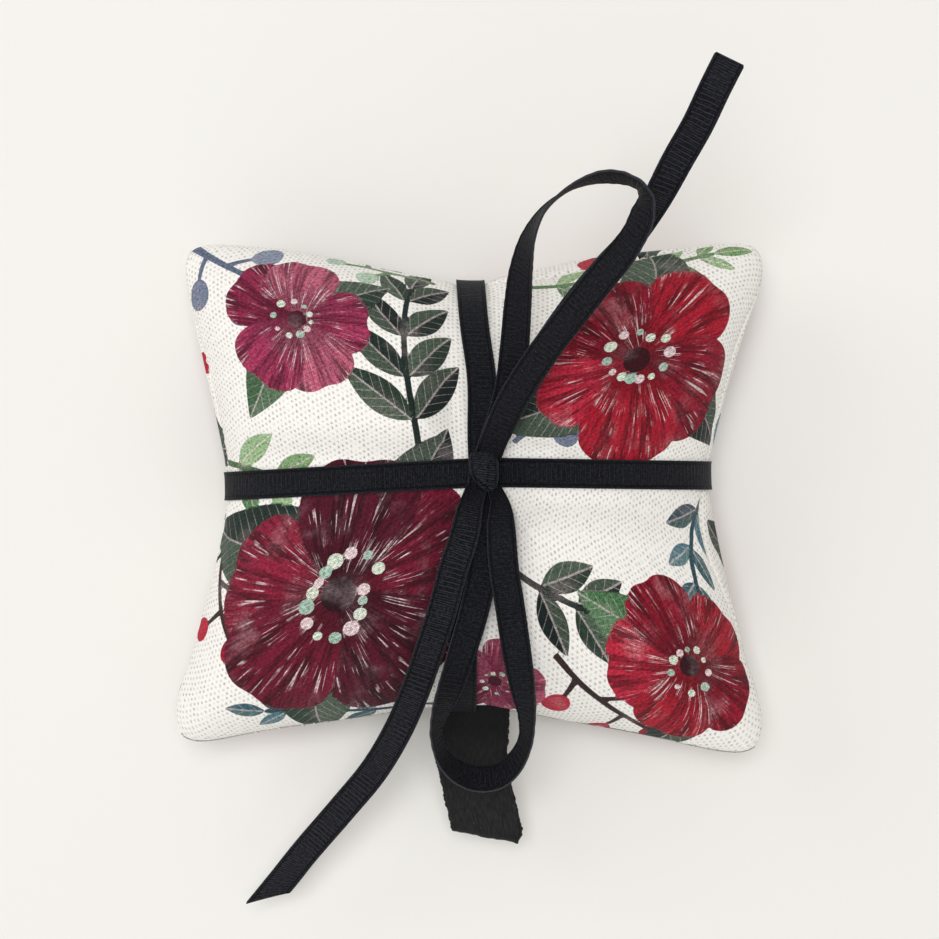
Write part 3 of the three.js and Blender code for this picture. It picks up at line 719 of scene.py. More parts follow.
class Motifs:
    """Inked shapes in two layers, the later ones on top: each has an outline, place, turn, ink and kind."""

    def __init__(self):
        self.layers = ([], [])

    def ink(self, layer, outline, x, y, turn, colour, kind=PLAIN):
        self.layers[layer].append((outline, x, y, math.radians(turn), linear(colour), kind))

    def leaf(self, x, y, length, turn, colour, slim=0.42):
        self.ink(0, leaf_outline(length, length * slim), x, y, turn, colour, LEAF)

    def blossom(self, x, y, size, turn, colours, heart, dots):
        for k in (0, 2, 4, 1, 3):
            angle = turn + 72 * k + 6 * math.sin(3 * k + turn)
            base = size * 0.035
            long = size * (0.47 + 0.03 * math.sin(5 * k + turn))
            self.ink(
                0, egg_outline(long, long * 0.98, 0.4, 0.05), *placed(x, y, angle, base),
                angle, colours[k % len(colours)], PETAL,
            )
        self.ink(1, egg_outline(size * 0.13, size * 0.125, 0), x - size * 0.065, y, 0, heart)
        for k in range(dots):
            far = size * (0.125 + 0.035 * math.sin(7 * k + turn))
            big = size * (0.048 + 0.012 * math.sin(11 * k))
            cx, cy = placed(x, y, turn + 360 * (k + 0.5) / dots, far)
            self.ink(1, egg_outline(big, big * 0.9, 0), cx - big / 2, cy, 0, DOT_INKS[k % len(DOT_INKS)])

    def sprig(self, x, y, length, turn, bend, pairs, leaf, colours, stem, slim=0.42):
        self.ink(0, stem_outline(length, STEM_WIDTH, bend), x, y, turn, stem)
        for k in range(pairs):
            share = (k + 0.8) / (pairs + 0.25)
            lx, ly = share * length, bend * share**2
            tilt = math.degrees(math.atan2(2 * bend * share, length))
            size = leaf * (1 - 0.4 * share)
            for side in (1, -1):
                self.leaf(
                    *placed(x, y, turn, lx, ly + side * 0.5), size, turn + tilt + side * (46 - 12 * share),
                    colours[(2 * k + side) % len(colours)], slim,
                )
        tip = turn + math.degrees(math.atan2(2 * bend, length))
        self.leaf(*placed(x, y, turn, length, bend), leaf * 0.7, tip, colours[0], slim)

    def berries(self, x, y, length, turn, bend, count, size, colours, stem):
        self.ink(0, stem_outline(length, STEM_WIDTH, bend), x, y, turn, stem)
        for k in range(count):
            share = (k + 1) / count
            side = 1 if k % 2 else -1
            reach = 0.0 if k == count - 1 else size * 0.8
            px, py = placed(x, y, turn, share * length, bend * share**2)
            out = turn + side * (62 if reach else 0)
            if reach:
                self.ink(0, stem_outline(reach, TWIG_WIDTH, 0), px, py, out, stem)
                px, py = placed(px, py, out, reach)
            big = size * (1 - 0.2 * share)
            self.ink(
                0, egg_outline(big, big * 0.9, 0.12), *placed(px, py, out, -0.3), out,
                colours[k % len(colours)],
            )


BURGUNDY = ["#7a1733", "#5c1029", "#98203f"]
CRIMSON = ["#b81a33", "#9c1430", "#c92a44"]
ROSE = ["#b23a63", "#cf6884", "#9a2950"]
DARK_LEAF = ["#20302b", "#2d4034", "#182624"]
FRESH_LEAF = ["#7fa86f", "#a5c795", "#5d8a58"]
SLATE = ["#7e88a0", "#939db2", "#6b7690"]
TEAL = ["#3f6772", "#5a8490", "#2c4f5a"]

motifs = Motifs()
# Sprigs and berries first, then the large leaves, then the blossoms over them
motifs.sprig(-14, 6, 40, 100, -8, 4, 19, DARK_LEAF, "#1c2a27")
motifs.sprig(-66, 6, 34, -10, -5, 3, 14, FRESH_LEAF, "#577a50")
motifs.sprig(12, 52, 40, -6, 5, 5, 13, FRESH_LEAF, "#6a8f5e", 0.34)
motifs.sprig(10, -20, 34, -30, 8, 4, 15, DARK_LEAF, "#22302a")
motifs.sprig(-2, -53, 40, 176, -2, 4, 12, TEAL, "#33545e")
motifs.sprig(66, -2, 26, -128, 4, 3, 12, TEAL, "#33545e")
motifs.berries(-62, 56, 30, -42, 6, 5, 7.0, SLATE, "#6b7690")
motifs.berries(8, 8, 34, 42, -5, 5, 6.4, SLATE, "#737e96")
motifs.berries(18, -36, 26, -52, 6, 4, 6.6, ["#c3203c", "#a01836"], "#3a2a2a")
motifs.berries(-62, -8, 26, -78, 6, 4, 6.6, ["#c3203c", "#a01836"], "#3a2a2a")
motifs.berries(-8, 52, 20, 165, 4, 4, 5.6, ["#9fc79a", "#c5dcc6"], "#7f9f78")
for x, y, length, turn, colour in (
    (-26, -18, 42, 168, "#22332c"), (-26, -24, 40, 62, "#1b2a28"), (-28, -26, 36, 262, "#2f4538"),
    (36, 24, 36, 200, "#24362d"), (38, 28, 34, 322, "#1c2b28"), (36, 30, 34, 82, "#33493a"),
    (-38, 34, 24, 30, "#2c4034"), (-38, 34, 24, 235, "#47694a"),
    (46, -36, 26, 150, "#4d7a50"), (46, -38, 24, 260, "#26382f"),
):
    motifs.leaf(x, y, length, turn, colour, 0.46)
motifs.blossom(-37, 35, 32, 5, ROSE, "#4a1026", 10)
motifs.blossom(46, -37, 34, 35, CRIMSON, "#34101a", 10)
motifs.blossom(6, -45, 22, 80, ROSE, "#451226", 8)
motifs.blossom(36, 27, 48, 50, CRIMSON, "#3a0a16", 13)
motifs.blossom(-28, -23, 56, 20, BURGUNDY, "#2a0d18", 15)


def inked(points, shapes, limit=2.5):
    """How deep each cloth point lies in the inked area, the topmost ink there, and the place in its shape."""
    depth = np.full(len(points), -limit)
    colour = np.tile(linear("#efece3"), (len(points), 1))
    place = np.zeros((len(points), 3))
    for outline, x, y, angle, ink, kind in shapes:
        reach = np.abs(outline).max(0).max() * 1.2 + limit
        near = np.nonzero((np.abs(points[:, 0] - x) < reach) & (np.abs(points[:, 1] - y) < reach))[0]
        if not len(near):
            continue
        offset = points[near] - [x, y]
        local = np.stack([
            offset[:, 0] * math.cos(angle) + offset[:, 1] * math.sin(angle),
            offset[:, 1] * math.cos(angle) - offset[:, 0] * math.sin(angle),
        ], axis=-1)
        low, high = outline.min(0) - limit, outline.max(0) + limit
        keep = ((local > low) & (local < high)).all(1)
        near, local = near[keep], local[keep]
        start, end = outline, np.roll(outline, -1, axis=0)
        edge = end - start
        away = local[:, None, :] - start[None]
        share = cut_to((away * edge).sum(-1) / np.maximum((edge**2).sum(-1), 1e-9), 0, 1)
        gap = np.linalg.norm(away - share[..., None] * edge, axis=-1).min(1)
        rises = (start[None, :, 1] > local[:, None, 1]) != (end[None, :, 1] > local[:, None, 1])
        slope = edge[:, 0] / np.where(np.abs(edge[:, 1]) < 1e-9, 1e-9, edge[:, 1])
        crossing = start[None, :, 0] + (local[:, None, 1] - start[None, :, 1]) * slope
        inside = (rises & (local[:, None, 0] < crossing)).sum(1) % 2 == 1
        signed = np.where(inside, gap, -gap)
        topmost = (signed > depth[near]) | (signed > 0)
        chosen = near[topmost]
        depth[near] = np.maximum(depth[near], signed)
        colour[chosen] = ink
        place[chosen, :2] = local[topmost]
        place[chosen, 2] = kind
    return depth, colour, place


def print_cloth(piece, cloth, shift, turn):
    """Stores the print on a panel's points. shift and turn say where on the cloth the panel was cut."""
    a = math.radians(turn)
    flat = cloth.reshape(-1, 2)
    flat = np.stack([
        flat[:, 0] * math.cos(a) - flat[:, 1] * math.sin(a) + shift[0],
        flat[:, 0] * math.sin(a) + flat[:, 1] * math.cos(a) + shift[1],
    ], axis=-1)
    for index, layer in enumerate(motifs.layers):
        depth, colour, place = inked(flat, layer)
        if index == 0:
            store(piece, "motif_place", "FLOAT_VECTOR", place)
        store(piece, f"motif_depth_{index}", "FLOAT", depth)
        store(piece, f"motif_ink_{index}", "FLOAT_COLOR", colour)


print_cloth(front_piece, front_cloth, (0, 0), 0)
print_cloth(back_piece, back_cloth, (3, -2), 180)


# Materials


# Millimetres between pinholes along a row, and between rows, and how far the grain is turned in degrees
PINHOLE_STEP = 1.05
PINHOLE_ROW_STEP = 1.08
GRAIN_TURN = -24
VEIN_STEP = 2.7


def printed_canvas():
    """Half-panama cotton canvas, screen printed: open weave with rows of pinholes, matt, with soft fibres."""
    material, node = new_material("cotton_canvas_printed")
    cloth = node("UVMap", uv_map="cloth")
    grain = node("Mapping", {"Vector": cloth, "Rotation": (0, 0, math.radians(GRAIN_TURN))})
    wobble = node("TexNoise", {"Vector": grain, "Scale": 0.3, "Detail": 3})
    split = node("SeparateXYZ", [grain])
    along = node("Math", [split.outputs["X"], node("Math", [wobble, 0.9], **MULTIPLY)], **ADD)
    across = node("Math", [
        node("Math", [split.outputs["Y"], node("Math", [wobble, 1.1], **MULTIPLY)], **ADD), PINHOLE_ROW_STEP,
    ], operation="DIVIDE")
    # Every second row of pinholes lies half a step on
    row = node("Math", [across], operation="FLOOR")
    stagger = node("Math", [node("Math", [row, 2.0], operation="MODULO"), PINHOLE_STEP / 2], **MULTIPLY)
    hole_x = node("Math", [
        node("Math", [
            node("Math", [node("Math", [along, stagger], **ADD), PINHOLE_STEP], operation="DIVIDE"),
        ], operation="FRACT"),
        0.5,
    ], **SUBTRACT)
    hole_y = node("Math", [node("Math", [across], operation="FRACT"), 0.5], **SUBTRACT)
    hole_reach = node("Math", [
        node("Math", [
            node("Math", [hole_x, 2.0], operation="POWER"),
            node("Math", [node("Math", [hole_y, 0.85], **MULTIPLY), 2.0], operation="POWER"),
        ], **ADD),
    ], operation="SQRT")
    fibre = node("TexNoise", {"Vector": grain, "Scale": 4.5, "Detail": 3, "Roughness": 0.7})
    ragged = node("Math", [node("Math", [fibre, 0.5], **SUBTRACT), 0.3], **MULTIPLY)
    hole_reach = node("Math", [hole_reach, ragged], **ADD)
    patchy = node("MapRange", [
        node("TexNoise", {"Vector": grain, "Scale": 0.55, "Detail": 5, "Roughness": 0.65}), 0.34, 0.62, 0.2,
        1.0,
    ], **SMOOTH)
    hole = node("Math", [node("MapRange", [hole_reach, 0.04, 0.36, 1, 0], **SMOOTH), patchy], **MULTIPLY)
    # Threads between the holes, two to a step each way
    thread_row = node("Math", [node("Math", [hole_y, 4 * math.pi], **MULTIPLY)], operation="COSINE")
    thread_column = node("Math", [node("Math", [hole_x, 4 * math.pi], **MULTIPLY)], operation="COSINE")
    slub = node("TexNoise", {
        "Vector": node("Mapping", {"Vector": grain, "Scale": (0.35, 3.2, 1)}), "Scale": 1.0, "Detail": 3,
    })
    grainy = node("TexNoise", {
        "Vector": node("Mapping", {"Vector": grain, "Scale": (1.1, 2.4, 1)}), "Scale": 1.0, "Detail": 3,
        "Roughness": 0.65,
    })
    # The crest of each thread crossing, from 0 to 1
    crest = node("Math", [
        0.5, node("Math", [node("Math", [thread_row, thread_column], **MULTIPLY), -0.5], **MULTIPLY),
    ], **ADD)
    height = node("Math", [
        node("Math", [crest, 0.5], **MULTIPLY),
        node("Math", [
            node("Math", [node("Math", [slub, fibre], **ADD), 0.45], **MULTIPLY),
            node("Math", [hole, 1.1], **MULTIPLY),
        ], **SUBTRACT),
    ], **ADD)
    bump = node("Bump", {"Height": height, "Strength": 0.55, "Distance": 0.00022})
    colour = node("Mix", {0: slub, 6: linear("#fffdfa"), 7: linear("#fbf8f4")}, **COLOURS)
    place = node("Attribute", attribute_name="motif_place").outputs["Vector"]
    local = node("SeparateXYZ", [place])
    kind = local.outputs["Z"]
    is_petal, is_leaf = (node("Math", [kind, own, 0.3], operation="COMPARE") for own in (PETAL, LEAF))
    # Brushed ink: streaks that fan from each petal's foot, darker and paler by turns
    fan = node("Math", [
        local.outputs["Y"], node("Math", [local.outputs["X"], 5.0], **ADD),
    ], operation="ARCTAN2")
    fan_place = node("CombineXYZ", {
        "X": node("Math", [fan, 9.0], **MULTIPLY),
        "Y": node("Math", [local.outputs["X"], 0.05], **MULTIPLY),
    })
    streak = node("TexNoise", {"Vector": fan_place, "Scale": 1.0, "Detail": 4, "Roughness": 0.7})
    fine_place = node("CombineXYZ", {
        "X": node("Math", [fan, 34.0], **MULTIPLY),
        "Y": node("Math", [local.outputs["X"], 0.09], **MULTIPLY), "Z": 7.0,
    })
    fine = node("TexNoise", {"Vector": fine_place, "Scale": 1.0, "Detail": 2, "Roughness": 0.6})
    foot = node("MapRange", [local.outputs["X"], 2.0, 11.0, 1, 0], **SMOOTH)
    wash = node("TexNoise", {"Vector": cloth, "Scale": 0.11, "Detail": 3})
    dry = node("MapRange", [
        node("TexNoise", {"Vector": cloth, "Scale": 0.16, "Detail": 3}), 0.46, 0.6,
    ], **SMOOTH)
    petal_line = node("Math", [
        node("Math", [
            node("MapRange", [
                node("Math", [fine, node("Math", [ragged, 0.3], **MULTIPLY)], **ADD), 0.56, 0.64,
            ], **SMOOTH),
            dry,
        ], **MULTIPLY),
        is_petal,
    ], **MULTIPLY)
    petal_dark = node("Math", [
        is_petal,
        node("Math", [
            node("MapRange", [streak, 0.58, 0.4], **SMOOTH), node("Math", [foot, 0.8], **MULTIPLY),
        ], operation="MAXIMUM"),
    ], **MULTIPLY)
    # Leaves: a pale midrib and side veins, and one half a little lighter
    beside = node("Math", [local.outputs["Y"]], operation="ABSOLUTE")
    vein_step = node("Math", [
        node("Math", [local.outputs["X"], node("Math", [beside, 1.2], **MULTIPLY)], **SUBTRACT), VEIN_STEP,
    ], operation="DIVIDE")
    vein_away = node("Math", [
        node("Math", [node("Math", [vein_step], operation="FRACT"), 0.5], **SUBTRACT),
    ], operation="ABSOLUTE")
    side_vein = node("Math", [
        node("MapRange", [vein_away, 0.025, 0.07, 1, 0], **SMOOTH),
        node("MapRange", [wash, 0.35, 0.55, 0.2, 0.7], **SMOOTH),
    ], **MULTIPLY)
    midrib = node("MapRange", [node("Math", [beside, ragged], **ADD), 0.1, 0.3, 1, 0], **SMOOTH)
    leaf_line = node("Math", [is_leaf, node("Math", [midrib, side_vein], operation="MAXIMUM")], **MULTIPLY)
    leaf_half = node("Math", [
        is_leaf, node("MapRange", [local.outputs["Y"], -0.15, 0.15], **SMOOTH),
    ], **MULTIPLY)
    lines = node("Math", [
        node("Math", [petal_line, 0.85], **MULTIPLY), node("Math", [leaf_line, 0.5], **MULTIPLY),
    ], operation="MAXIMUM")
    # Washed-out patches, then on the lower layer dark streaks in petals, lighter leaf halves and pale lines:
    # how strong each is, how far and towards what it turns the ink, and how the two are mixed
    tints = [
        (node("Math", [node("MapRange", [wash, 0.5, 0.72], **SMOOTH), 0.55], **MULTIPLY),
         0.3, linear("#f0d8dc"), "MIX"),
        (node("Math", [petal_dark, 0.85], **MULTIPLY), 1.0, (0.2, 0.16, 0.2, 1), "MULTIPLY"),
        (node("Math", [leaf_half, 0.75], **MULTIPLY), 0.2, linear("#a9c0a4"), "MIX"),
        (lines, 0.85, linear("#f6e4e6"), "MIX"),
    ]
    # Painted shade: the ink is lighter on the thread crests and darker in the hollows between them, and
    # patchy as it lies unevenly
    dim = node("Math", [
        node("MapRange", [grainy, 0.32, 0.68, 0.4, 1.0], **SMOOTH), node("Math", [crest, 0.38], **MULTIPLY),
    ], **ADD)
    dimmed = node("CombineColor", {"Red": dim, "Green": dim, "Blue": dim})
    # A few threads keep their pale ground through the ink
    taken = node("MapRange", [fibre, 0.68, 0.82, 1, 0.72], **SMOOTH)
    for index in (0, 1):
        ink = node("Attribute", attribute_name=f"motif_ink_{index}")
        depth = node("Attribute", attribute_name=f"motif_depth_{index}").outputs["Fac"]
        inked_cloth = ink
        for share, amount, tone, blend in tints if index == 0 else tints[:1]:
            tinted = node("Mix", {0: amount, 6: ink, 7: tone}, **COLOURS, blend_type=blend)
            inked_cloth = node("Mix", {0: share, 6: inked_cloth, 7: tinted}, **COLOURS)
        inked_cloth = node("Mix", {0: 1.0, 6: inked_cloth, 7: dimmed}, **COLOURS, blend_type="MULTIPLY")
        edge = node("MapRange", [node("Math", [depth, ragged], **ADD), -0.07, 0.07], **SMOOTH)
        cover = node("Math", [edge, taken], **MULTIPLY)
        colour = node("Mix", {0: cover, 6: colour, 7: inked_cloth}, **COLOURS)
    bare = node("MapRange", [
        node("Attribute", attribute_name="motif_depth_0").outputs["Fac"], -0.1, 0.2, 0.66, 0.55,
    ], **SMOOTH)
    shade = node("Mix", {
        0: node("Math", [hole, bare], **MULTIPLY), 6: colour, 7: linear("#948578"),
    }, **COLOURS, blend_type="MULTIPLY")
    # Painted shade: the ground is darker in the hollows between the threads and lighter on their crests, with
    # darker and paler fibre flecks
    painted_groove_shade = node("Math", [node("Math", [crest, 0.5], **SUBTRACT), 0.17], **MULTIPLY)
    flecks = node("Math", [
        node("Math", [node("Math", [slub, node("Math", [fibre, grainy], **ADD)], **ADD), 1.5], **SUBTRACT),
        0.16,
    ], **MULTIPLY)
    weave = node("Math", [1.0, node("Math", [painted_groove_shade, flecks], **ADD)], **ADD)
    weave_colour = node("CombineColor", {"Red": weave, "Green": weave, "Blue": weave})
    final = node("Mix", {0: 1.0, 6: shade, 7: weave_colour}, **COLOURS, blend_type="MULTIPLY")
    shader = node("BsdfPrincipled", {
        "Base Color": final, "Normal": bump,
        "Roughness": node("MapRange", [fibre, 0.2, 0.8, 0.86, 0.98], **SMOOTH), "Sheen Weight": 0.06,
        "Sheen Roughness": 0.6, "Specular IOR Level": 0.2,
    })
    node("OutputMaterial", {"Surface": shader})
    return material


# Millimetres from rib to rib. They are a little crooked, and every second one is fuller in places
RIB_STEP = 0.5


def grosgrain(name, ribs_and_painted_sheen):
    """Black grosgrain ribbon: fine low cross ribs, a flat edge with a groove beside it, and a dry look."""
    material, node = new_material(name)
    cloth = node("UVMap", uv_map="cloth")
    split = node("SeparateXYZ", [cloth])
    beside = node("Math", [split.outputs["X"]], operation="ABSOLUTE")
    sway = node("Math", [node("TexNoise", {"Vector": cloth, "Scale": 0.5, "Detail": 2}), 0.4], **MULTIPLY)
    step = node("Math", [node("Math", [split.outputs["Y"], sway], **ADD), math.pi / RIB_STEP], **MULTIPLY)
    broad = node("TexNoise", {"Vector": cloth, "Scale": 0.16, "Detail": 4})
    worn = node("MapRange", [broad, 0.36, 0.6, 0.3, 1.0], **SMOOTH)
    paired = node("MapRange", [
        node("TexNoise", {"Vector": cloth, "Scale": 0.09, "Detail": 2}), 0.4, 0.6,
    ], **SMOOTH)
    rib = node("Math", [
        node("Math", [
            node("Math", [node("Math", [step, 2.0], **MULTIPLY)], operation="COSINE"), 0.65,
        ], **MULTIPLY),
        node("Math", [
            node("Math", [node("Math", [step], operation="COSINE"), paired], **MULTIPLY), 0.75,
        ], **MULTIPLY),
    ], **ADD)
    on_edge = node("MapRange", [beside, 2.05, 2.3], **SMOOTH)
    line = node("Math", [
        node("MapRange", [beside, 2.1, 2.3], **SMOOTH),
        node("MapRange", [beside, 2.36, 2.56, 1, 0], **SMOOTH),
    ], **MULTIPLY)
    edge_stitch = node("Math", [node("Math", [split.outputs["Y"], 7.2], **MULTIPLY)], operation="COSINE")
    fine = node("TexNoise", {
        "Vector": node("Mapping", {"Vector": cloth, "Scale": (0.8, 4, 1)}), "Scale": 1.0, "Detail": 4,
        "Roughness": 0.7,
    })
    dry = node("TexNoise", {
        "Vector": node("Mapping", {"Vector": cloth, "Scale": (2.2, 1.7, 1)}), "Scale": 1.0, "Detail": 3,
        "Roughness": 0.7,
    })
    ridge = node("Math", [
        node("Math", [rib, worn], **MULTIPLY), node("Math", [1.0, on_edge], **SUBTRACT),
    ], **MULTIPLY)
    height = node("Math", [
        node("Math", [ridge, 0.75 + 0.35 * ribs_and_painted_sheen], **MULTIPLY),
        node("Math", [
            node("Math", [node("Math", [fine, dry], **ADD), 1.3], **MULTIPLY),
            node("Math", [
                node("Math", [node("Math", [edge_stitch, on_edge], **MULTIPLY), 0.2], **MULTIPLY),
                node("Math", [line, 1.2], **MULTIPLY),
            ], **SUBTRACT),
        ], **ADD),
    ], **ADD)
    bump = node("Bump", {"Height": height, "Strength": 0.9, "Distance": 0.00018})
    # Crests catch the light, and the hollows stay black
    crest = node("MapRange", [
        node("Math", [
            node("Math", [ridge, 0.55 + 0.4 * ribs_and_painted_sheen], **MULTIPLY),
            node("Math", [
                node("Math", [node("Math", [fine, dry], **ADD), 1.0], **SUBTRACT), 2.4,
            ], **MULTIPLY),
        ], **ADD),
        -0.55, 0.95,
    ], **SMOOTH)
    # Painted shade: the crests darken near the knot, where hardly any light gets between the folds it presses
    # together
    painted_knot_shade = node("Attribute", attribute_name="painted_knot_shade").outputs["Fac"]
    crest = node("Math", [
        crest, node("Math", [1.0, node("Math", [painted_knot_shade, 0.8], **MULTIPLY)], **SUBTRACT),
    ], **MULTIPLY)
    flecks = node("Math", [
        node("MapRange", [dry, 0.5, 0.66], **SMOOTH),
        node("Math", [0.3, node("Math", [broad, 0.8], **MULTIPLY)], **ADD),
    ], **MULTIPLY)
    colour = linear("#030304")
    for share, tone in (
        # Painted sheen and shade: the crests are lighter on the ribbed copy and darker on the other
        (crest, "#34353d" if ribs_and_painted_sheen else "#23242a"),
        (node("Math", [flecks, 0.6], **MULTIPLY), "#2c2e38"),
        (node("Math", [line, 0.85], **MULTIPLY), "#020203"),
        # Painted highlight: a thin lighter rim along each edge
        (node("Math", [node("MapRange", [beside, 2.84, 2.94], **SMOOTH), 0.7], **MULTIPLY), "#3c3d44"),
    ):
        colour = node("Mix", {0: share, 6: colour, 7: linear(tone)}, **COLOURS)
    shader = node("BsdfPrincipled", {
        "Base Color": colour, "Normal": bump,
        "Roughness": node("MapRange", [crest, 0, 1, 0.6, 0.48], **SMOOTH), "Specular IOR Level": 0.18,
        "Specular Tint": linear("#dfe3f2"), "Sheen Weight": 0.02, "Sheen Roughness": 0.5,
    })
    node("OutputMaterial", {"Surface": shader})
    return material


TAPE_WIDTH = 15.0
TAPE_THICKNESS = 0.7
TAPE_FLAT_LENGTH = 62.0
# Radians to a millimetre: a thread every 0.55 mm each way, mostly hidden by the nap
TAPE_THREADS = 11.4


def cotton_tape():
    """Charcoal cotton tape in a plain weave: dull, with pale flecks of lint."""
    material, node = new_material("cotton_tape_charcoal")
    cloth = node("UVMap", uv_map="cloth")
    split = node("SeparateXYZ", [cloth])
    drift = node("Math", [node("TexNoise", {"Vector": cloth, "Scale": 0.4, "Detail": 2}), 1.2], **MULTIPLY)
    ends = node("Math", [
        split.outputs["Y"], node("Math", [TAPE_FLAT_LENGTH, split.outputs["Y"]], **SUBTRACT),
    ], operation="MINIMUM")
    warp, weft = (
        node("Math", [
            node("Math", [node("Math", [split.outputs[axis], TAPE_THREADS], **MULTIPLY), drift], **ADD),
        ], operation="SINE")
        for axis in ("X", "Y")
    )
    weave = node("Math", [warp, weft], **MULTIPLY)
    fuzz = node("TexNoise", {"Vector": cloth, "Scale": 1.6, "Detail": 4, "Roughness": 0.7})
    nap = node("TexNoise", {"Vector": cloth, "Scale": 7.0, "Detail": 3, "Roughness": 0.7})
    lint = node("MapRange", [
        node("TexNoise", {"Vector": cloth, "Scale": 1.1, "Detail": 2}), 0.72, 0.78,
    ], **SMOOTH)
    worn = node("TexNoise", {"Vector": cloth, "Scale": 0.32, "Detail": 3, "Roughness": 0.6})
    streaks = node("TexNoise", {
        "Vector": node("Mapping", {"Vector": cloth, "Scale": (2.4, 0.5, 1)}), "Scale": 1.0, "Detail": 3,
        "Roughness": 0.6,
    })
    height = node("Math", [
        node("Math", [weave, 0.16], **MULTIPLY),
        node("Math", [node("Math", [fuzz, 0.7], **MULTIPLY), nap], **ADD),
    ], **ADD)
    bump = node("Bump", {"Height": height, "Strength": 0.7, "Distance": 0.00025})
    shade = node("Math", [
        node("Math", [node("Math", [nap, streaks], **ADD), 0.4], **MULTIPLY),
        node("Math", [node("Math", [worn, 0.1], **MULTIPLY), node("Math", [fuzz, 0.1], **MULTIPLY)], **ADD),
    ], **ADD)
    # Painted shade: the tape darkens towards its ends in the seam, under the pillow's edge and the loop; lint
    # lies on all of it
    colour = linear("#09090a")
    for share, tone in (
        (node("MapRange", [shade, 0.3, 0.7], **SMOOTH), "#353537"),
        # Painted shade towards the tape's ends
        (node("MapRange", [ends, 4.0, 19.0, 0.75, 0], **SMOOTH), "#0a0a0b"),
        (node("Math", [lint, 0.6], **MULTIPLY), "#6a6a6a"),
    ):
        colour = node("Mix", {0: share, 6: colour, 7: linear(tone)}, **COLOURS)
    shader = node("BsdfPrincipled", {
        "Base Color": colour, "Normal": bump, "Roughness": 0.95, "Sheen Weight": 0.08,
        "Sheen Roughness": 0.5, "Specular IOR Level": 0.15,
    })
    node("OutputMaterial", {"Surface": shader})
    return material


def matt_fibres(name, pale, dark, scale, depth, roughness):
    """Matt fibres, for the threads and all that is inside. scale and depth are for places in metres."""
    material, node = new_material(name)
    place = node("TexCoord").outputs["Object"]
    fibres = node("TexNoise", {"Vector": place, "Scale": scale, "Detail": 4, "Roughness": 0.7})
    bump = node("Bump", {"Height": fibres, "Strength": 0.6, "Distance": depth})
    colour = node("Mix", {
        0: node("MapRange", [fibres, 0.3, 0.7], **SMOOTH), 6: linear(dark), 7: linear(pale),
    }, **COLOURS)
    shader = node("BsdfPrincipled", {"Base Color": colour, "Normal": bump, "Roughness": roughness})
    node("OutputMaterial", {"Surface": shader})
    return material


def painted_board():
    """The table: a matt painted board, very slightly mottled, so that the floor isn't one flat tone."""
    material, node = new_material("painted_board_pale")
    place = node("TexCoord").outputs["Object"]
    colour = node("Mix", {
        0: node("TexNoise", {"Vector": place, "Scale": 3.0, "Detail": 2}), 6: linear("#f5f4f1"),
        7: linear("#f2f0ed"),
    }, **COLOURS)
    shader = node("BsdfPrincipled", {"Base Color": colour, "Roughness": 0.9, "Specular IOR Level": 0.1})
    node("OutputMaterial", {"Surface": shader})
    return material


canvas_material = printed_canvas()
ribbon_material = grosgrain("polyester_grosgrain_painted_shade", 0.0)
# The same ribbon in the tails and the knot, where its ribs stand out more and its crests are lighter, a
# painted sheen; the bands and loops keep darker crests, painted shade
bow_material = grosgrain("polyester_grosgrain_ribs_painted_sheen", 1.0)
tape_material = cotton_tape()
# Polyester sewing thread: two twisted plies, so a fine grain about 0.15 mm long
thread_material = matt_fibres("polyester_thread_cream", "#f6f2ea", "#dedacd", 6500, 0.00008, 0.6)
# Cotton wadding: loose white fibres in tufts of about 2 mm
wadding_material = matt_fibres("cotton_wadding_white", "#f7f5ef", "#dcd8cc", 520, 0.0008, 1.0)
# Cotton muslin, loose plain weave about 0.5 mm
muslin_material = matt_fibres("cotton_muslin_natural", "#ece3cf", "#cfc3a6", 2000, 0.0002, 0.95)
# Dried lavender buds, about 2 mm
lavender_material = matt_fibres("lavender_buds_dried", "#8d83b5", "#5c5378", 500, 0.0012, 0.95)

for piece, node in ((front_piece, "front_panel"), (back_piece, "back_panel")):
    dress(piece, node, canvas_material)
for name, piece in stretches.items():
    piece.data.materials.append(bow_material if "tail" in name else ribbon_material)


# Bands: the ribbon's two rounds about the pillow, and the knot on their crossing


# Millimetres from the cloth to a band's underside, and from one round to the other where they cross
BAND_CLEARANCE = 0.3
LAYER_STEP = 0.7


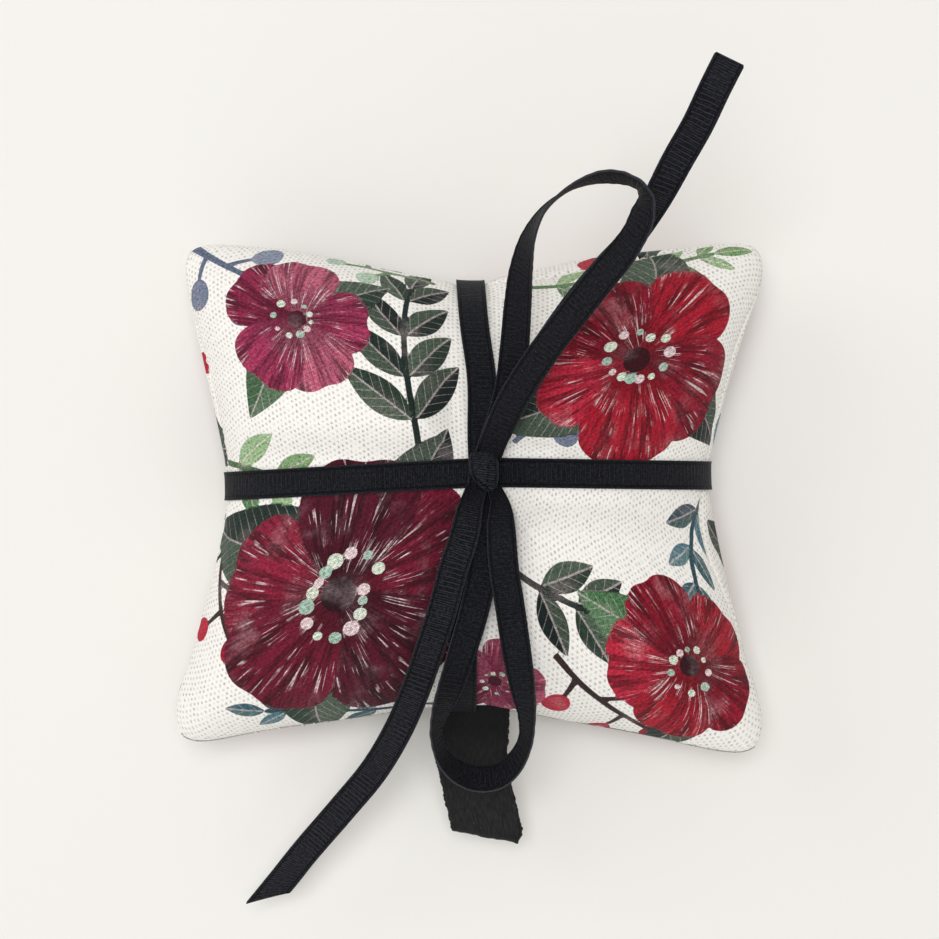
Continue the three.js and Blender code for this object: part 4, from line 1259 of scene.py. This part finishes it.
def band(name, node, horizontal, layer, drifts):
    """A closed round of ribbon over the finished pillow, near the line v = 0 or u = 0."""
    shares = even_stations(241)
    half_span = (WAIST_DEPTH if horizontal else WAIST_WIDTH) / 2
    aside = bumps(shares, drifts) / half_span
    places = (shares, aside) if horizontal else (aside, shares)
    offset = RIBBON_WIDTH / 2 / half_span
    rounds = []
    for half in (front, back):
        rows = []
        for side in (-offset * 0.9, 0, offset * 0.9):
            u, v = (places[0], places[1] + side) if horizontal else (places[0] + side, places[1])
            if half is back:
                u, v = (u, v - aside) if horizontal else (u - aside, v)
            rows.append(pillow_surface(half, u, v))
        rounds.append(rows[1] * 0.5 + (rows[0] + rows[2]) * 0.25)
    course = np.concatenate([rounds[0], rounds[1][::-1][1:-1]])
    for _ in range(6):
        course = course * 0.5 + (np.roll(course, 1, 0) + np.roll(course, -1, 0)) * 0.25
    reach = reach_along(course, closed=True)
    even = np.linspace(0, reach[-1], 460, endpoint=False)
    course = read_along(even, reach, np.concatenate([course, course[:1]]))
    along = normalised(np.roll(course, -2, 0) - np.roll(course, 2, 0))
    onward = course[:, 0 if horizontal else 1]
    heading = course[np.argmax(onward)] - course[np.argmin(onward)]
    heading[2] = 0
    side = np.cross(UP, normalised(heading))
    outward = normalised(-np.cross(np.broadcast_to(side, along.shape), along))
    centres = course + outward * ((BAND_CLEARANCE + RIBBON_THICKNESS / 2 + layer * LAYER_STEP) * MM)
    centres[:, 2] = np.maximum(centres[:, 2], (0.25 + layer * 0.5) * MM)
    sides = np.broadcast_to(side, along.shape)
    made = strip(name, centres, sides, outward, RIBBON_WIDTH, RIBBON_THICKNESS, 0.1, closed=True)
    dress(made, node, ribbon_material)


band("band_across_ribbon", "ribbon_band_across", True, 0, [])
# The lengthwise round wanders to either side on the front: place, spread, millimetres
lengthwise_drifts = [(0.45, 0.22, 0.9), (-0.72, 0.2, -1.0)]
band("band_lengthwise_ribbon", "ribbon_band_lengthwise", False, 1, lengthwise_drifts)


KNOT_HALF_LENGTH = 4.1
KNOT_HALF_HEIGHT = 2.36
KNOT_HALF_WIDTH = 3.2
KNOT_RELIEF = 2.44
# The knot's half width, as shares of its widest, by degrees round it from its top end in plan
knot_width_shares = (
    [0, 30, 60, 95, 120, 145, 180, 240, 360], [0.5, 0.86, 1.0, 0.96, 0.78, 0.5, 0.22, 0.4, 0.5],
)


def knot_profile(turn):
    """The knot's long section, y and z in millimetres: a round with fuller shoulders than an ellipse."""
    return np.stack([
        KNOT_HALF_LENGTH * np.sign(np.cos(turn)) * np.abs(np.cos(turn)) ** 0.72,
        KNOT_HALF_HEIGHT * np.sign(np.sin(turn)) * np.abs(np.sin(turn)) ** 0.7,
    ], axis=-1)


def knot():
    """The knot: the ribbon laid over the crossing from top to bottom, full width above and gathered below."""
    stations, rings = 73, 260
    share = np.linspace(-1, 1, stations)[None, :]
    round_fine = np.linspace(0, 2 * np.pi, 3001)
    profile = knot_profile(round_fine)
    reach = reach_along(profile)
    lengths = np.linspace(0, reach[-1], rings + 1)
    turn = np.interp(lengths[:-1], reach, round_fine)[:, None]
    degrees = np.degrees(turn)
    # 0 degrees is the top end in plan, 90 the crest, and 180 the bottom end
    half = KNOT_HALF_WIDTH * np.interp(degrees, *knot_width_shares)
    middle = np.interp(degrees, [0, 90, 130, 180, 240, 360], [-0.3, 0, 0.45, 1.15, 0.5, -0.3])
    rounding = np.sqrt(cut_to(1 - cut_to((np.abs(share) - 0.6) / 0.4, 0, 1) ** 2, 0, 1))
    facing = cut_to(np.sin(turn), 0, 1) ** 0.5
    ribs = 0.075 * np.cos(4 * np.pi * lengths[:-1, None] + 1.2 * share**2) * facing
    crease = 0.0
    for at, place, slope, width, depth, low, high in (
        (118, -0.4, 0.020, 0.12, 0.8, 88, 185), (60, 0.5, -0.006, 0.10, 0.35, 40, 170),
        (150, 0.05, 0.004, 0.09, 0.5, 115, 190), (95, 0.8, -0.012, 0.12, 0.3, 70, 150),
    ):
        within = cut_to((degrees - low) / 14, 0, 1) * cut_to((high - degrees) / 14, 0, 1)
        line = place + slope * (degrees - at)
        crease = crease + depth * within * np.exp(-(((share - line) / width) ** 2))
    rim = 0.12 * np.exp(-(((degrees - 24) / 7) ** 2)) - 0.2 * np.exp(-(((degrees - 37) / 5) ** 2))
    out = 0.5 + 0.5 * rounding + (ribs - crease + rim * facing) / KNOT_RELIEF
    x = middle + half * share * (1 - 0.05 * share**2)
    outline = knot_profile(turn[:, 0])
    y = outline[:, :1] * (0.72 + 0.28 * out) - 0.35 * share * facing
    z = outline[:, 1:] * out
    points = np.stack(np.broadcast_arrays(x, y, z), axis=-1) * MM + knot_centre
    cloth = np.stack(np.meshgrid(share[0] * RIBBON_WIDTH / 2, lengths, indexing="ij"), axis=-1)
    # Each column goes once round, and the two ends are the ribbon's edges
    made = surface("bow_knot_ribbon", np.swapaxes(points, 0, 1), cloth, wrap_columns=True, caps=True)
    dress(made, "bow_knot", bow_material)


knot()


# Hanging loop: charcoal tape folded double, its ends in the bottom seam

hinge = np.array(frame["joints"][0]["pos_m"]) / MM
TAPE_SLOPE = math.radians(15)
TAPE_LENGTH = 26.2
FOLD_TURN = math.radians(11)
# Side drift of the tape's middle line in plan, in millimetres, by distance out from the seam
TAPE_DRIFT = ([-5, 0.5, 5.5, 9, 14, 19.5, 26.6], [1.25, 1.2, 0.75, 0.72, 1.6, 2.7, 3.85])


def tape_course():
    """The tape's side view from inside the seam, out over the top, round the fold and back below."""
    gap = 0.55
    upper = [(-4.5, gap), (-1.6, gap), (0.0, gap), (3.0, gap + 0.1)]
    upper += [(x, gap + 0.12 * math.sin(x / 5)) for x in np.arange(6.0, TAPE_LENGTH - 1.2, 3.0)]
    fold = [
        (TAPE_LENGTH - 0.9 + 0.75 * math.cos(a), 0.62 * math.sin(a))
        for a in np.radians([90, 60, 30, 0, -30, -60, -90])
    ]
    lower = [(x, -z) for x, z in upper[::-1]]
    return np.array(upper + fold + lower)


def hanging_loop():
    """The tape, folded double, with its ends held in the seam."""
    course = tape_course()
    reach = reach_along(course)
    even = np.linspace(0, reach[-1], 320)
    out, rise = (averaged(column, 13) for column in read_along(even, reach, course).T)
    y = hinge[1] - out * math.cos(TAPE_SLOPE) - rise * math.sin(TAPE_SLOPE)
    z = hinge[2] - out * math.sin(TAPE_SLOPE) + rise * math.cos(TAPE_SLOPE)
    under = cut_to((even - 0.5 * even[-1]) / 3.0, 0, 1)
    x = averaged(np.interp(out, *TAPE_DRIFT), 41)
    x = x + 0.9 * under * cut_to((out - 12) / 12, 0, 1)
    centres = np.stack([x, y, z], axis=-1) * MM
    # The fold is a little askew, and lies lower on the right
    askew = FOLD_TURN * cut_to(out / TAPE_LENGTH, 0, 1) ** 2
    along = normalised(np.gradient(np.stack([np.full_like(x, 1.0), y, z], axis=-1), axis=0))
    sides = np.stack([np.cos(askew), -np.sin(askew), np.zeros_like(askew)], axis=-1)
    faces = normalised(np.cross(along, sides))
    fold = cut_to((out - TAPE_LENGTH + 1.4) / 1.4, 0, 1) ** 2
    made = strip(
        "hanging_loop_tape", centres, sides, faces, TAPE_WIDTH, TAPE_THICKNESS, 0.0,
        1 - 0.04 * fold, ragged=0.14, fold=fold,
    )
    made.data.materials.append(tape_material)
    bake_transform(made)
    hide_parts("hanging_loop")


hanging_loop()


# Thread in the seam: a run of stitches all round, and the whip stitches that close the turning gap


SEAM_STEP = 0.22
STITCH_LENGTH = 2.2
WHIP_LENGTH = 2.5


def thread(name, node, centres, closed, radius):
    """A round thread along a row of points in metres, with its radius in millimetres."""
    ahead = np.roll(centres, -1, 0) - np.roll(centres, 1, 0) if closed else np.gradient(centres, axis=0)
    along = normalised(ahead)
    beside = normalised(np.cross(along, UP + 0.01))
    above = np.cross(beside, along)
    angle = np.linspace(0, 2 * np.pi, 8, endpoint=False)[None, :, None]
    ring = beside[:, None, :] * np.cos(angle) - above[:, None, :] * np.sin(angle)
    points = centres[:, None, :] + ring * radius * MM
    count = len(centres) + (1 if closed else 0)
    cloth = np.stack(np.meshgrid(np.arange(9) * 0.12, np.arange(count) * 0.3, indexing="xy"), axis=-1)
    made = surface(name, points, cloth, wrap_rows=closed, wrap_columns=True, caps=not closed)
    dress(made, node, thread_material)


def seam_course(step):
    """The seam as evenly spaced points in order round the pillow, and the way out of the cloth at each."""
    normals = grid_normals(front_points)
    rings = []
    for field in (front_points, normals):
        rings.append(np.concatenate([field[0, :-1], field[:-1, -1], field[-1, :0:-1], field[:0:-1, 0]]))
    reach = reach_along(rings[0], closed=True)
    even = np.linspace(0, reach[-1], int(reach[-1] / MM / step), endpoint=False)
    course, out = (read_along(even, reach, np.concatenate([ring, ring[:1]])) for ring in rings)
    return course, normalised(out)


seam, seam_out = seam_course(SEAM_STEP)
# The stitches dip between the two cloths
dip = 0.18 * np.cos(np.arange(len(seam)) * SEAM_STEP / STITCH_LENGTH * 2 * np.pi) + 0.1
thread("seam_stitches", "seam_thread", seam + seam_out * (dip * MM)[:, None], True, 0.13)
# The turning gap, in the bottom seam on the left
GAP_START, GAP_END = -47.0, -23.5
on_gap = (seam[:, 1] < (pillow_middle[1] - 30) * MM)
on_gap &= (seam[:, 0] > GAP_START * MM) & (seam[:, 0] < GAP_END * MM)
gap_course, gap_out = seam[on_gap], seam_out[on_gap]
gap_along = normalised(np.gradient(gap_course, axis=0))
fine_step = np.linspace(0, len(gap_course) - 1, 6 * len(gap_course))
gap_course, gap_out, gap_along = (
    read_along(fine_step, np.arange(len(rows)), rows) for rows in (gap_course, gap_out, gap_along)
)
winding = (fine_step * SEAM_STEP / WHIP_LENGTH * 2 * np.pi)[:, None]
whip = gap_out * (0.8 * np.cos(winding) - 0.1) + np.cross(gap_along, gap_out) * np.sin(winding) * 0.9
thread("closing_stitches", "closing_thread", gap_course + whip * MM, False, 0.14)


# Carried-over nodes inside the pillow

for name, material, slot in (
    ("pouch_thread", thread_material, "sewing_thread"),
    ("loop_thread", thread_material, "sewing_thread"),
    ("wadding_front", wadding_material, "wadding"),
    ("wadding_back", wadding_material, "wadding"),
    ("pouch_front", muslin_material, "muslin"),
    ("pouch_back", muslin_material, "muslin"),
    ("lavender_buds", lavender_material, "dried_lavender"),
    ("loop_ends", tape_material, "cotton_tape"),
):
    node = frame["nodes"][name]
    node.data.materials.clear()
    node.data.materials.append(material)


# Table, light and view

deselect_all()
bpy.ops.mesh.primitive_plane_add(size=6, location=(0, 0, 0))
floor = bpy.context.object
floor.name = "table"
floor.data.materials.append(painted_board())


def lamp(name, place, size, power, colour):
    """A square lamp that faces the middle of the table."""
    data = bpy.data.lights.new(name, "AREA")
    data.size = size
    data.energy = power
    data.color = colour
    made = bpy.data.objects.new(name, data)
    bpy.context.scene.collection.objects.link(made)
    back_axis = normalised(np.array(place))
    side_axis = normalised(np.cross(UP, back_axis))
    matrix = np.eye(4)
    matrix[:3] = np.stack([side_axis, np.cross(back_axis, side_axis), back_axis, place], axis=1)
    made.matrix_world = Matrix(matrix.tolist())


# A window high above, daylight from a second one low on the left, and a pale wall before the table
lamp("window", (-0.1, 0.2, 1.7), 0.7, 15.3, (1.0, 0.997, 0.992))
lamp("side_window", (-1.5, 0.75, 0.9), 1.2, 7.1, (1.0, 0.994, 0.982))
lamp("pale_wall", (-0.35, -1.3, 0.95), 1.6, 4.6, (0.97, 0.985, 1.0))
lamp("fill", (1.1, -0.3, 1.1), 1.6, 1.8, (0.985, 0.99, 1.0))

world = bpy.data.worlds.new("soft_room")
bpy.context.scene.world = world
world.use_nodes = True
background = world.node_tree.nodes["Background"]
background.inputs["Color"].default_value = linear("#fbf8f1")
background.inputs["Strength"].default_value = 0.337

bpy.context.scene.view_settings.view_transform = "Standard"
